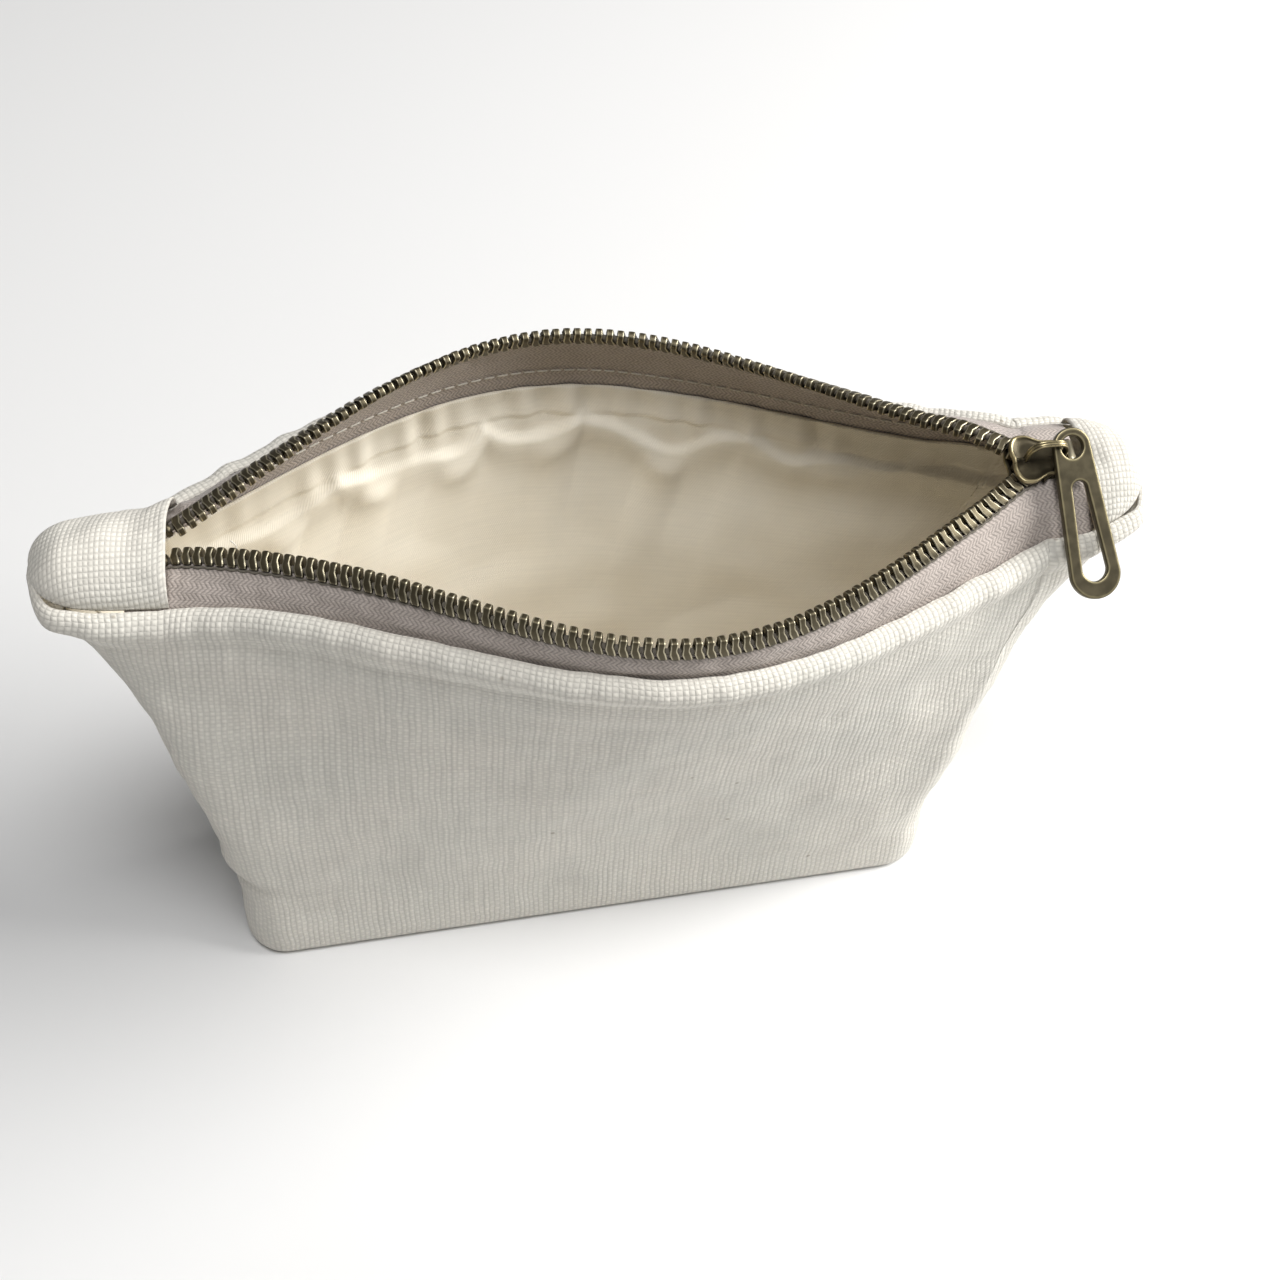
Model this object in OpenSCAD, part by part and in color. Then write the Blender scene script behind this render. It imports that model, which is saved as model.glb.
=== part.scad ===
// Zipped canvas pouch, standing open: boxed base, lens-shaped mouth, metal zip with one slider.
// Frame: +X from the closed end of the chain towards the slider, -Y the front panel, +Z up.
// The origin is the middle of the flat base, on the surface that the pouch stands on.

/* [Base] */
// Half the length of the base, between its end folds
base_half_length = 90; // [70:1:110]
// Half the depth of the boxed base
base_half_depth = 22.5; // [15:0.5:30]
// Radius of the base's four corners, seen from above
base_corner_r = 11; // [6:0.5:14]
// Radius of the soft edge between the base and the walls
base_edge_r = 3; // [2.8:0.1:5]
// Turn of the base's long edges against the zip, as a shift of their ends
base_skew = 2; // [0:0.5:4]

/* [Mouth] */
// X at which the two tooth rows meet, at the left end
mouth_left_x = -92; // [-100:1:-80]
// X at which the two tooth rows meet, at the slider's end
mouth_right_x = 98; // [90:1:105]
// How far the front tooth row bows out
front_bow = 39.3; // [30:0.5:44]
// How far the back tooth row bows out
back_bow = 49; // [36:0.5:54]
// Height of the tooth rows at the left end
zip_left_z = 127; // [120:0.5:135]
// Height of the tooth rows at the slider
zip_right_z = 131; // [125:0.5:136]
// Lean of the front tape from the vertical, at the middle of the mouth
front_lean = 7; // [0:1:20]
// Lean of the back tape from the vertical, at the middle of the mouth
back_lean = 25; // [10:1:35]
// X of the left ear's sewn corner, beyond the zip's closed end
ear_left_x = -119; // [-122:1:-112]
// X of the right ear's sewn corner, beyond the slider
ear_right_x = 125; // [114:1:127]

/* [Cloth] */
// Thickness of the outer canvas
canvas_t = 0.9; // [0.6:0.1:1.1]
// Thickness of the zip tape
tape_t = 0.5; // [0.3:0.1:0.6]
// Thickness of the lining
lining_t = 0.4; // [0.3:0.1:0.6]
// Width of tape that shows between the teeth's middle and the canvas fold
tape_reveal = 10.8; // [8:0.2:13]
// Length of one stitch along its seam
stitch_pitch = 3.2; // [2.4:0.1:5]

/* [Zip] */
// Distance from one tooth to the next along a row
tooth_pitch = 2.54; // [2.4:0.02:3]
// Thickness of a tooth along its row
tooth_t = 1.2; // [0.9:0.05:1.3]
// Size of a tooth across the plane of the tape
tooth_depth = 2.6; // [2.2:0.1:2.8]
// Reach of a tooth's head beyond the middle of its row
head_reach = 2.3; // [1.8:0.1:2.4]
// Reach of a tooth's legs behind the middle of its row
leg_reach = 2.1; // [1.6:0.1:2.3]
// Radius of the cord woven into each tape's edge
cord_r = 0.8; // [0.5:0.05:0.85]

/* [Slider] */
// Middle of the slider along the zip, with the pouch open
slider_x = 98.5; // [96:0.5:100]
// Middle of the slider across the zip
slider_y = -1.5; // [-3:0.5:1]
// Length of the slider from nose to tail
slider_l = 12.5; // [12:0.5:14]
// Tilt of the slider's top towards the front
slider_tilt = 16; // [0:1:20]
// Thickness of each of the slider's two plates
plate_t = 1.2; // [0.8:0.1:1.6]
// Inner height of the bridge above the top plate
bridge_h = 5.3; // [5.2:0.1:6.5]
// Width of the bridge band
bridge_w = 1.9; // [1.4:0.1:1.9]

/* [Pull] */
// Distance from the middle of the eye to the middle of the round tip
pull_l = 28; // [26:0.5:34]
// Outer radius of the pull at its eye
pull_eye_r = 4.3; // [4.2:0.1:5]
// Outer radius of the pull at its tip
pull_tip_r = 5.8; // [5:0.1:7]
// Thickness of the pull
pull_t = 1.7; // [1:0.1:1.7]
// Angle of the pull below the horizontal as it hangs over the front
pull_droop = 42; // [35:1:42]
// Turn of the pull towards the right end
pull_turn = 6; // [0:1:8]

/* [Hidden] */

front = -1;
back = 1;
// Half of the hairline gap between the two panels where their seams meet
seam_gap = 0.15;
// Shares of a panel's outline taken by its left and right ears
ear_left = 0.137;
ear_right = 0.09;
// Depths below the canvas's outer face at which the inner layers lie
tape_depth = 1.35;
lining_depth = 2.2;
thread_depth = 1.55;
thread_r = 0.2;
// Half the distance between the middles of the two rows where they meet
row_gap = 2.6;
// Where the teeth start and end along X
first_tooth_x = mouth_left_x + 3.8;
last_tooth_x = mouth_right_x - 1.5;
// Inner face of the slider's plates, from its middle plane
channel_h = tooth_depth / 2 + 0.25;
plate_top = channel_h + plate_t;
// Middle of the pull's eye in the slider's own frame
eye_x = 6.4;
eye_z = 5.9;
eye_hole_r = 2.5;

function lerp(a, b, q) = a + (b - a) * q;
function clamp(v, low, high) = max(low, min(high, v));
function ease(v) = let (q = clamp(v, 0, 1)) q * q * (3 - 2 * q);
function unit(v) = v / norm(v);
function bezier(p0, p1, p2, p3, q) =
  p0 * pow(1 - q, 3) + p1 * 3 * pow(1 - q, 2) * q + p2 * 3 * (1 - q) * q * q + p3 * pow(q, 3);
// Three half-waves over the length of the mouth: its bow, its skew and its peak
function waves(q, bow, skew, peak) = bow * sin(180 * q) + skew * sin(360 * q) + peak * sin(540 * q);

// ---- The line of the tooth rows ----

function mouth_share(x) = clamp((x - mouth_left_x) / (mouth_right_x - mouth_left_x), 0, 1);
// Slider's middle plane, which both rows run into at the right end
function slider_plane_z(y) = zip_right_z + (y - slider_y) * tan(slider_tilt);
function row_bow(side, x) =
  let (q = mouth_share(x))
  max(0, side == front ? waves(q, front_bow, -4.4, -1.8) : waves(q, back_bow, -0.2, -2.3));
function row_y(side, x) =
  lerp(1, slider_y, mouth_share(x)) + side * sqrt(pow(row_bow(side, x), 2) + row_gap * row_gap);
function row_free_z(side, x) =
  let (q = mouth_share(x))
  side == front
    ? lerp(zip_left_z - 1, zip_right_z - 1.8, q) + waves(q, 3.2, 3.6, 0.9)
    : lerp(zip_left_z + 1, zip_right_z + 2.2, q) + waves(q, 3.3, 3.2, 0.7);
function row(side, x) =
  let (y = row_y(side, x), w = ease((x - 76) / 14))
  [x, y, lerp(row_free_z(side, x), slider_plane_z(y), w)];
function row_slope(side, x) = (row(side, x + 0.2) - row(side, x - 0.2)) / 0.4;
// Level direction that points out of the mouth, square to the row
function row_out(side, x) = let (d = row_slope(side, x)) unit([-side * d[1], side * d[0], 0]);
// A value that is one thing at the middle of the mouth and another at each end
function along_mouth(x, left, middle, right) =
  let (q = mouth_share(x), wl = pow(max(0, 1 - q / 0.5), 1.5), wr = pow(max(0, 1 - (1 - q) / 0.42), 1.5))
  middle + (left - middle) * wl + (right - middle) * wr;
function tooth_lean(side, x) =
  side == front
    ? along_mouth(x, 84, front_lean, 90 - slider_tilt)
    : along_mouth(x, 90, back_lean, 90 + slider_tilt);
function fold_lean(side, x) =
  side == front ? along_mouth(x, 76, front_lean, 52) : along_mouth(x, 66, back_lean, 76);
function away(side, x, lean) = row_out(side, x) * sin(lean) + [0, 0, -cos(lean)];

// ---- The panels ----

function fold(side, x) =
  row(side, x) + away(side, x, fold_lean(side, x)) * along_mouth(x, 13.2, tape_reveal, 13.4);
function ear_z(s) = s < 0.5 ? zip_left_z - 1 : zip_right_z - 4.5;
function ear_tip(side, s) = [s < 0.5 ? ear_left_x : ear_right_x, side * seam_gap, ear_z(s)];
// Edge of a panel at the top, from its left seam (s = 0) to its right seam (s = 1)
function fold_x(s) = lerp(mouth_left_x + 1, mouth_right_x + 5, (s - ear_left) / (1 - ear_left - ear_right));
function ear(side, s, q) =
  let (tip = ear_tip(side, s), f = fold(side, fold_x(s < 0.5 ? ear_left : 1 - ear_right)))
  bezier(tip, tip + [0, side * 14, -0.8],
         f + [(tip[0] - f[0]) * 0.5, -side * 0.8, 0.4], f, q);
function rim(side, s) =
  s < ear_left ? ear(side, s, s / ear_left)
  : s > 1 - ear_right ? ear(side, s, (1 - s) / ear_right)
  : fold(side, fold_x(s));
// Edge of the base: a rectangle's half with round corners, by length along it
function half_round_rect(q, hx, hy, r) =
  let (flank = hy - r, arc = PI * r / 2, d = q * 2 * (flank + arc + hx - r))
  q > 0.5 ? let (m = half_round_rect(1 - q, hx, hy, r)) [-m[0], m[1]]
  : d < flank ? [-hx, d]
  : d < flank + arc ? let (a = (d - flank) / r * 180 / PI) [r - hx - r * cos(a), flank + r * sin(a)]
  : [r - hx + d - flank - arc, hy];
function base_edge(side, s, inset) =
  let (p = half_round_rect(s, base_half_length - inset, base_half_depth - inset, base_corner_r - inset),
       share = clamp(p[1] / base_half_depth, 0, 1))
  [p[0], side * (p[1] + seam_gap) + base_skew * share * p[0] / base_half_length, 0];
// How far into an ear a point of the outline is: 1 at the seam, 0 along the mouth
function ear_share(s) = ease(s < 0.5 ? 1 - s / (ear_left * 1.25) : 1 - (1 - s) / (ear_right * 1.6));
function hang(side, s) =
  let (x = clamp(fold_x(s), mouth_left_x, mouth_right_x),
       mid = away(side, x, min(25, fold_lean(side, x) * 0.8)),
       ear_way = [s < 0.5 ? 0.62 : -0.62, 0, -0.78])
  unit(lerp(mid, ear_way, ear_share(s)));
wall_rows = 12;
edge_rows = 4;
base_rows = 3;
panel_rows = wall_rows + edge_rows + base_rows;
// A panel's outer face: v runs down the wall (0 to 1), round the edge (to 2) and in under the base (to 3)
function skin(side, s, v) =
  v <= 1
    ? let (top = rim(side, s), foot = base_edge(side, s, 0) + [0, 0, base_edge_r])
      bezier(top, top + hang(side, s) * 24, foot + [0, 0, 52], foot, v)
  : v <= 2
    ? let (a = (v - 1) * 90)
      base_edge(side, s, base_edge_r * (1 - cos(a))) + [0, 0, base_edge_r * (1 - sin(a))]
  : let (edge = base_edge(side, s, base_edge_r), seam_x = lerp(-1, 1, s) * (base_half_length - 5))
    lerp(edge, [seam_x, side * seam_gap, 0], v - 2);
// Inward direction, square to the panel
function inward(side, s, v) =
  let (e = 0.004, s0 = max(0, s - e), s1 = min(1, s + e), v0 = v > 2 ? max(2, v - e) : max(0, v - e),
       v1 = v > 2 ? min(3, v + e) : v + e,
       n = cross(skin(side, s1, v) - skin(side, s0, v), skin(side, s, v1) - skin(side, s, v0)))
  unit(n) * -side;
// A point at a depth under the panel's outer face
function under(side, s, v, depth) =
  let (n = inward(side, s, v), flat = s == 0 || s == 1 ? unit([n[0], 0, n[2]]) : n)
  skin(side, s, v) + flat * depth;
function row_v(i) =
  i <= wall_rows ? pow(i / wall_rows, 1.15)
  : i <= wall_rows + edge_rows ? 1 + (i - wall_rows) / edge_rows
  : 2.02 + 0.98 * (i - wall_rows - edge_rows - 1) / (base_rows - 1);
function panel_grid(side, columns, top_v, depth) =
  [for (i = [0:panel_rows]) [for (j = [0:columns])
    under(side, j / columns, max(top_v, row_v(i) + top_v * (1 - i / panel_rows)), depth)]];

// A closed sheet between two grids of points with the same rows and columns
module sheet(face, rear, flip) {
  rows = len(face);
  cols = len(face[0]);
  function at(r, c, layer) = layer * rows * cols + r * cols + c;
  function quad(a, b, c, d) = [[a, b, c], [a, c, d]];
  // The diagonals lean one way in each half, so that none lies along the sheet's bottom line
  skin_faces = [for (r = [0:rows - 2]) for (c = [0:cols - 2]) each c < cols / 2
    ? concat(quad(at(r, c + 1, 0), at(r + 1, c + 1, 0), at(r + 1, c, 0), at(r, c, 0)),
             quad(at(r, c + 1, 1), at(r, c, 1), at(r + 1, c, 1), at(r + 1, c + 1, 1)))
    : concat(quad(at(r, c, 0), at(r, c + 1, 0), at(r + 1, c + 1, 0), at(r + 1, c, 0)),
             quad(at(r, c, 1), at(r + 1, c, 1), at(r + 1, c + 1, 1), at(r, c + 1, 1)))];
  long_edges = [for (c = [0:cols - 2]) each concat(
    quad(at(0, c + 1, 0), at(0, c, 0), at(0, c, 1), at(0, c + 1, 1)),
    quad(at(rows - 1, c, 0), at(rows - 1, c + 1, 0), at(rows - 1, c + 1, 1), at(rows - 1, c, 1)))];
  short_edges = [for (r = [0:rows - 2]) each concat(
    quad(at(r, 0, 0), at(r + 1, 0, 0), at(r + 1, 0, 1), at(r, 0, 1)),
    quad(at(r + 1, cols - 1, 0), at(r, cols - 1, 0), at(r, cols - 1, 1), at(r + 1, cols - 1, 1)))];
  faces = concat(skin_faces, long_edges, short_edges);
  polyhedron(
    points = concat([for (line = face) each line], [for (line = rear) each line]),
    faces = flip ? [for (f = faces) [f[2], f[1], f[0]]] : faces);
}

module outer(side) {
  color("ivory") sheet(panel_grid(side, 38, 0, 0), panel_grid(side, 38, 0, canvas_t), side == front);
}

module lining(side) {
  top = 0.014;
  color("oldlace")
    sheet(panel_grid(side, 30, top, lining_depth), panel_grid(side, 30, top, lining_depth + lining_t),
          side == front);
}

// ---- The zip tapes ----

tape_columns = 46;
tape_in_x = mouth_left_x - 5;
tape_out_x = mouth_right_x + 10;
function tape_x(j) = lerp(tape_in_x, tape_out_x, j / tape_columns);
function outline_share(x) =
  ear_left + (x - mouth_left_x - 1) / (mouth_right_x + 4 - mouth_left_x) * (1 - ear_left - ear_right);
// Square to the tape where it leaves the teeth
function tape_face(side, x) =
  unit(cross(row_slope(side, x), away(side, x, tooth_lean(side, x)))) * side;
function tape_point(side, x, q, depth) =
  let (s = outline_share(x), start = row(side, x), d = away(side, x, tooth_lean(side, x)),
       lift = tape_face(side, x) * (tape_depth + tape_t / 2 - depth))
  q <= 1
    ? let (w = lerp(0.13, 1, q), a = start + lift, b = start + d * tape_reveal * 0.55 + lift,
           c = under(side, s, 0, depth))
      a * pow(1 - w, 2) + b * 2 * w * (1 - w) + c * w * w
    : under(side, s, (q - 1) * 0.035, depth);
module zip_tape(side) {
  steps = [0, 0.2, 0.4, 0.6, 0.8, 0.95, 1.05, 2];
  near = [for (q = steps) [for (j = [0:tape_columns]) tape_point(side, tape_x(j), q, tape_depth)]];
  far = [for (q = steps) [for (j = [0:tape_columns]) tape_point(side, tape_x(j), q, tape_depth + tape_t)]];
  color("rosybrown") sheet(near, far, side == front);
}

// Frame of the row at x: across towards the mouth, square to the tape, and along the row
function row_axes(side, x) =
  let (t = unit(row_slope(side, x)), b = unit(cross(t, -away(side, x, tooth_lean(side, x)))), n = cross(b, t))
  [n, b, t];
module on_row(side, x) {
  a = row_axes(side, x);
  p = row(side, x);
  multmatrix([
    [a[0][0], a[1][0], a[2][0], p[0]],
    [a[0][1], a[1][1], a[2][1], p[1]],
    [a[0][2], a[1][2], a[2][2], p[2]]]) children();
}
// X of each tooth, a pitch apart along the curved row
function tooth_places(side, x) =
  x > last_tooth_x ? [] : concat([x], tooth_places(side, x + tooth_pitch / norm(row_slope(side, x))));

cord_sides = 8;
// Middle of the cord behind the middle of the tooth row
cord_set = 0.7;
module tape_cord(side) {
  rings = 62;
  points = [for (i = [0:rings])
    let (x = lerp(first_tooth_x - 3, last_tooth_x + 1, i / rings), a = row_axes(side, x))
    for (k = [0:cord_sides - 1]) let (turn = 360 * k / cord_sides)
      row(side, x) + a[0] * (cord_r * cos(turn) - cord_set) + a[1] * cord_r * sin(turn)];
  function at(i, k) = i * cord_sides + k % cord_sides;
  walls = [for (i = [0:rings - 1]) for (k = [0:cord_sides - 1]) each [
    [at(i, k), at(i + 1, k + 1), at(i, k + 1)], [at(i, k), at(i + 1, k), at(i + 1, k + 1)]]];
  ends = [for (k = [1:cord_sides - 2]) each [
    [at(0, 0), at(0, k), at(0, k + 1)], [at(rings, 0), at(rings, k + 1), at(rings, k)]]];
  color("gainsboro") polyhedron(points = points, faces = concat(walls, ends));
}

// ---- The teeth and stops ----

// A tooth's outline across its row: a head, and two legs clamped over the tape's cord
module tooth_outline() {
  head_w = tooth_depth * 0.42;
  slot = cord_r + 0.1;
  slot_end = cord_r - cord_set + 0.1;
  polygon([
    [head_reach, -head_w * 0.6], [head_reach, head_w * 0.6], [head_reach - 0.5, head_w],
    [0.6, tooth_depth / 2 - 0.1], [-leg_reach + 0.5, tooth_depth / 2], [-leg_reach, tooth_depth / 2 - 0.3],
    [-leg_reach, slot], [slot_end - 0.3, slot], [slot_end, slot * 0.5],
    [slot_end, -slot * 0.5], [slot_end - 0.3, -slot], [-leg_reach, -slot],
    [-leg_reach, 0.3 - tooth_depth / 2], [-leg_reach + 0.5, -tooth_depth / 2], [0.6, 0.1 - tooth_depth / 2],
    [head_reach - 0.5, -head_w]]);
}
module teeth(side) {
  start = side == front ? first_tooth_x : first_tooth_x + tooth_pitch / 3;
  color("darkolivegreen") for (x = tooth_places(side, start))
    on_row(side, x) linear_extrude(height = tooth_t, center = true) tooth_outline();
}

stop_l = 1.5;
module top_stop(side) {
  x = first_tooth_x - (side == front ? 2 : 1.2);
  color("darkolivegreen") on_row(side, x) difference() {
    translate([-2, -tooth_depth / 2, -stop_l / 2]) cube([2.6, tooth_depth, stop_l]);
    translate([-2.5, -cord_r - 0.1, -stop_l]) cube([2.7, 2 * cord_r + 0.2, 2 * stop_l]);
  }
}

module in_slider_frame() {
  translate([slider_x, slider_y, zip_right_z]) rotate([slider_tilt, 0, 0]) children();
}

module bottom_stop() {
  half_w = 4.9;
  half_t = 1.2;
  slot = 1.5;
  color("darkolivegreen") in_slider_frame() translate([slider_l / 2 + 0.8, 0, 0]) difference() {
    translate([0, -half_w, -half_t]) cube([2.2, 2 * half_w, 2 * half_t]);
    for (m = [-1, 1]) translate([-1, m * (half_w - 1) - 1.2, -slot / 2]) cube([5, 2.4, slot]);
  }
}

// ---- The folded tabs over the zip's ends ----

tab_t = 1.2;
// Height of the tab over the fold where it tucks in, clear of the tape
tab_rise = 0.7;
module end_tab(edge_s, end_s, crown) {
  steps = 14;
  rows = 8;
  function tab_point(i, j, lift) =
    let (s = lerp(edge_s, end_s, i / rows), a = under(front, s, 0.004, tape_depth),
         b = under(back, s, 0.004, tape_depth), q = j / steps,
         arch = crown * pow(clamp((b[1] - a[1]) / 22, 0, 1), 0.7))
    lerp(a, b, q) + [0, 0, tab_rise + arch * pow(q, 0.56) * pow(1 - q, 0.25) + lift];
  color("ivory") sheet(
    [for (i = [0:rows]) [for (j = [0:steps]) tab_point(i, j, 0)]],
    [for (i = [0:rows]) [for (j = [0:steps]) tab_point(i, j, tab_t)]], edge_s > 0.5);
}

// ---- The slider and its pull ----

// Half the width of the slider's plates: lobes at the nose, narrowing to a round tail
function plate_half_w(x) =
  let (q = (x + slider_l / 2) / slider_l)
  lerp(6, 4.2, ease((q - 0.28) / 0.4)) * pow(clamp(1 - pow(abs(2 * q - 1), 7), 0, 1), 0.5);
module plate_outline() {
  n = 40;
  xs = [for (i = [0:n]) -slider_l / 2 * cos(180 * i / n)];
  polygon(concat(
    [for (x = xs) [x, -max(0.6, plate_half_w(x))]],
    [for (i = [n:-1:0]) [xs[i], max(0.6, plate_half_w(xs[i]))]]));
}
module flange(m) {
  // Side wall of a plate, which keeps the teeth in, outside the rows
  polygon([
    [0.4, m * 4.95], [0.4, m * 5.5], [2.2, m * 4.15], [5.6, m * 4.1], [5.6, m * 3.3], [2.0, m * 3.35]]);
}
module slider_body() {
  lip = 0.8;
  wedge_x = -4.6;
  color("olive") in_slider_frame() union() {
    for (m = [-1, 1]) translate([0, 0, m > 0 ? channel_h : -plate_top])
      linear_extrude(height = plate_t) plate_outline();
    for (m = [-1, 1]) translate([0, 0, m > 0 ? lip : -channel_h - 0.1])
      linear_extrude(height = channel_h + 0.1 - lip) { flange(-1); flange(1); }
    translate([wedge_x, 0, -channel_h - 0.1]) cylinder(r = 0.85, h = 2 * channel_h + 0.2, $fn = 32);
  }
}

// The bridge is an arched band along the slider, with a leg at each end
module bridge_outline() {
  mid = 1.4;
  half_in = 3.65;
  band = 1.05;
  n = 28;
  function arch(i, half, h) =
    let (a = 180 * i / n, c = cos(a), s = sin(a))
    [mid - half * sign(c) * pow(abs(c), 0.5), h * pow(s, 0.5)];
  polygon(concat(
    [for (i = [0:n]) arch(i, half_in + band, bridge_h + band)],
    [for (i = [n:-1:0]) arch(i, half_in, bridge_h)]));
}
module slider_bridge() {
  color("olive") in_slider_frame() translate([0, bridge_w / 2, plate_top])
    rotate([90, 0, 0]) linear_extrude(height = bridge_w) bridge_outline();
}

// Outline round two circles of different radius: the first at the origin, the second at -length on Y
function tapered_pill(r0, r1, length) =
  let (a = asin((r1 - r0) / length), n = 20)
  concat(
    [for (i = [0:n]) let (t = lerp(-a, 180 + a, i / n)) [r0 * cos(t), r0 * sin(t)]],
    [for (i = [0:n]) let (t = lerp(180 + a, 360 - a, i / n)) [r1 * cos(t), r1 * sin(t) - length]]);
module pull_tab() {
  slot_top = 9.2;
  slot_l = 17.8;
  color("olive") in_slider_frame() translate([eye_x, 0, eye_z])
    rotate([pull_droop - slider_tilt, 0, 0]) rotate([0, 0, pull_turn])
    linear_extrude(height = pull_t, center = true) difference() {
      polygon(tapered_pill(pull_eye_r, pull_tip_r, pull_l));
      circle(r = eye_hole_r, $fn = 48);
      translate([0, -slot_top]) polygon(tapered_pill(1.7, 2.9, slot_l));
    }
}

// ---- The seams' threads ----

// One stitch of thread, a short bar between two points
module stitch(a, b) {
  d = b - a;
  translate(a) rotate([0, acos(d[2] / norm(d)), atan2(d[1], d[0])])
    cylinder(r = thread_r, h = norm(d) * 0.78, $fn = 16);
}
module stitch_line(points) {
  color("linen") for (i = [0:len(points) - 2]) stitch(points[i], points[i + 1]);
}
// The line through canvas, tape and lining, just below the fold
module zip_stitches(side) {
  n = round(200 / stitch_pitch);
  stitch_line([for (i = [0:n]) under(side, lerp(ear_left + 0.01, 0.875, i / n), 0.05, thread_depth + 0.1)]);
}
function seam_line(s, depth, count) =
  [for (i = [0:count]) let (p = under(back, s, lerp(0.06, 0.96, i / count), depth)) [p[0], 0, p[2]]];
module side_stitches(s) {
  stitch_line(seam_line(s, thread_depth, round(125 / stitch_pitch)));
}
module base_stitches() {
  reach = base_half_length - 12;
  n = round(2 * reach / stitch_pitch);
  stitch_line([for (i = [0:n]) [lerp(-reach, reach, i / n), 0, thread_depth]]);
}
// The short seam across each end of the boxed base
module corner_stitches(end) {
  reach = base_half_depth - base_corner_r;
  n = round(2 * reach / stitch_pitch);
  x = end * (base_half_length - base_edge_r - 3);
  stitch_line([for (i = [0:n]) [x, lerp(-reach, reach, i / n), thread_depth]]);
}
// The lining's own seams, just inside it
module lining_stitches(s) {
  stitch_line(seam_line(s, lining_depth + lining_t + 0.5, round(118 / stitch_pitch)));
}
module lining_base_stitches() {
  reach = base_half_length - 14;
  n = round(2 * reach / stitch_pitch);
  stitch_line([for (i = [0:n]) [lerp(-reach, reach, i / n), 0, lining_depth + lining_t + 0.4]]);
}

outer(front);  // outer_front
outer(back);  // outer_back
lining(front);  // lining_front
lining(back);  // lining_back
zip_tape(front);  // zip_tape_front
zip_tape(back);  // zip_tape_back
tape_cord(front);  // tape_cord_front
tape_cord(back);  // tape_cord_back
teeth(front);  // teeth_front
teeth(back);  // teeth_back
top_stop(front);  // top_stop_front
top_stop(back);  // top_stop_back
bottom_stop();
end_tab(ear_left + 0.02, 0.02, 12);  // end_tab_left
end_tab(1 - ear_right * 0.755, 0.985, 11);  // end_tab_right
slider_body();
slider_bridge();
pull_tab();
zip_stitches(front);  // zip_stitches_front
zip_stitches(back);  // zip_stitches_back
side_stitches(0);  // side_stitches_left
side_stitches(1);  // side_stitches_right
base_stitches();
corner_stitches(-1);  // corner_stitches_left
corner_stitches(1);  // corner_stitches_right
lining_stitches(0);  // lining_stitches_left
lining_stitches(1);  // lining_stitches_right
lining_base_stitches();
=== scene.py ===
"""Looks of the zipped canvas pouch.

Lengths are in millimetres until a mesh is made. Camera, lights, bumps and the sheets' flat
sizes are in metres.
"""
import math

import bmesh
import bpy
import numpy as np
from mathutils import Matrix, Vector


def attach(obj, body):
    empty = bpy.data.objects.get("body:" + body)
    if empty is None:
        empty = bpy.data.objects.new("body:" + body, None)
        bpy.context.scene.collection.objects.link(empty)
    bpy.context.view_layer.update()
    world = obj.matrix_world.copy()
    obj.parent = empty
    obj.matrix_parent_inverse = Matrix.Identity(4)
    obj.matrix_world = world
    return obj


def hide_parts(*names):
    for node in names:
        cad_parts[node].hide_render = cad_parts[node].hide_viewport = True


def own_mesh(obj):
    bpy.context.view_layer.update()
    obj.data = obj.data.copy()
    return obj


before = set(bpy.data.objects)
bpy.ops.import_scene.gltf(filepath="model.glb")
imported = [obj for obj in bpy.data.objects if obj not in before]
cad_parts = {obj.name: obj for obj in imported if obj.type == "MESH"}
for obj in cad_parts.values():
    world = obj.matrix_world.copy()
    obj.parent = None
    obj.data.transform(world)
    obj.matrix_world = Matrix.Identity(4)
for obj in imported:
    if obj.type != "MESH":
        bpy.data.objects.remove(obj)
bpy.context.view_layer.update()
scene = bpy.context.scene

MM = 0.001
FRONT, BACK = -1, 1

# ---- Driving dimensions, as in the part's source ----
BASE_HALF_LENGTH = 90.0
BASE_HALF_DEPTH = 22.5
BASE_CORNER_R = 11.0
BASE_EDGE_R = 3.0
BASE_SKEW = 2.0
MOUTH_LEFT_X = -92.0
MOUTH_RIGHT_X = 98.0
FRONT_BOW = 39.3
BACK_BOW = 49.0
ZIP_LEFT_Z = 127.0
ZIP_RIGHT_Z = 131.0
FRONT_LEAN = 7.0
BACK_LEAN = 25.0
EAR_LEFT_X = 119.0
EAR_RIGHT_X = 125.0
EAR_LEFT = 0.137
EAR_RIGHT = 0.09
SEAM_GAP = 0.15
ROW_GAP = 2.6
CANVAS_T = 0.9
TAPE_T = 0.5
LINING_T = 0.4
TAPE_REVEAL = 10.8
TOOTH_PITCH = 2.54
TOOTH_T = 1.2
TOOTH_DEPTH = 2.6
HEAD_REACH = 2.3
LEG_REACH = 2.1
CORD_R = 0.8
CORD_SET = 0.7
SLIDER_X = 98.5
SLIDER_Y = -1.5
SLIDER_L = 12.5
SLIDER_TILT = math.radians(16)
PLATE_T = 1.2
CHANNEL_H = TOOTH_DEPTH / 2 + 0.25
PLATE_TOP = CHANNEL_H + PLATE_T
BRIDGE_H = 5.3
BRIDGE_W = 1.9
EYE_X = 6.4
EYE_Z = 5.9
EYE_HOLE_R = 2.5
PULL_L = 28.0
PULL_EYE_R = 4.3
PULL_TIP_R = 5.8
PULL_T = 1.7
PULL_DROOP = math.radians(42)
PULL_TURN = math.radians(6)
STITCH_PITCH = 3.2
FIRST_TOOTH_X = MOUTH_LEFT_X + 3.8
LAST_TOOTH_X = MOUTH_RIGHT_X - 1.5
FOLD_LEFT_X = MOUTH_LEFT_X + 1
FOLD_RIGHT_X = MOUTH_RIGHT_X + 5
TAB_T = 1.2
TAB_RISE = 0.7

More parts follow.
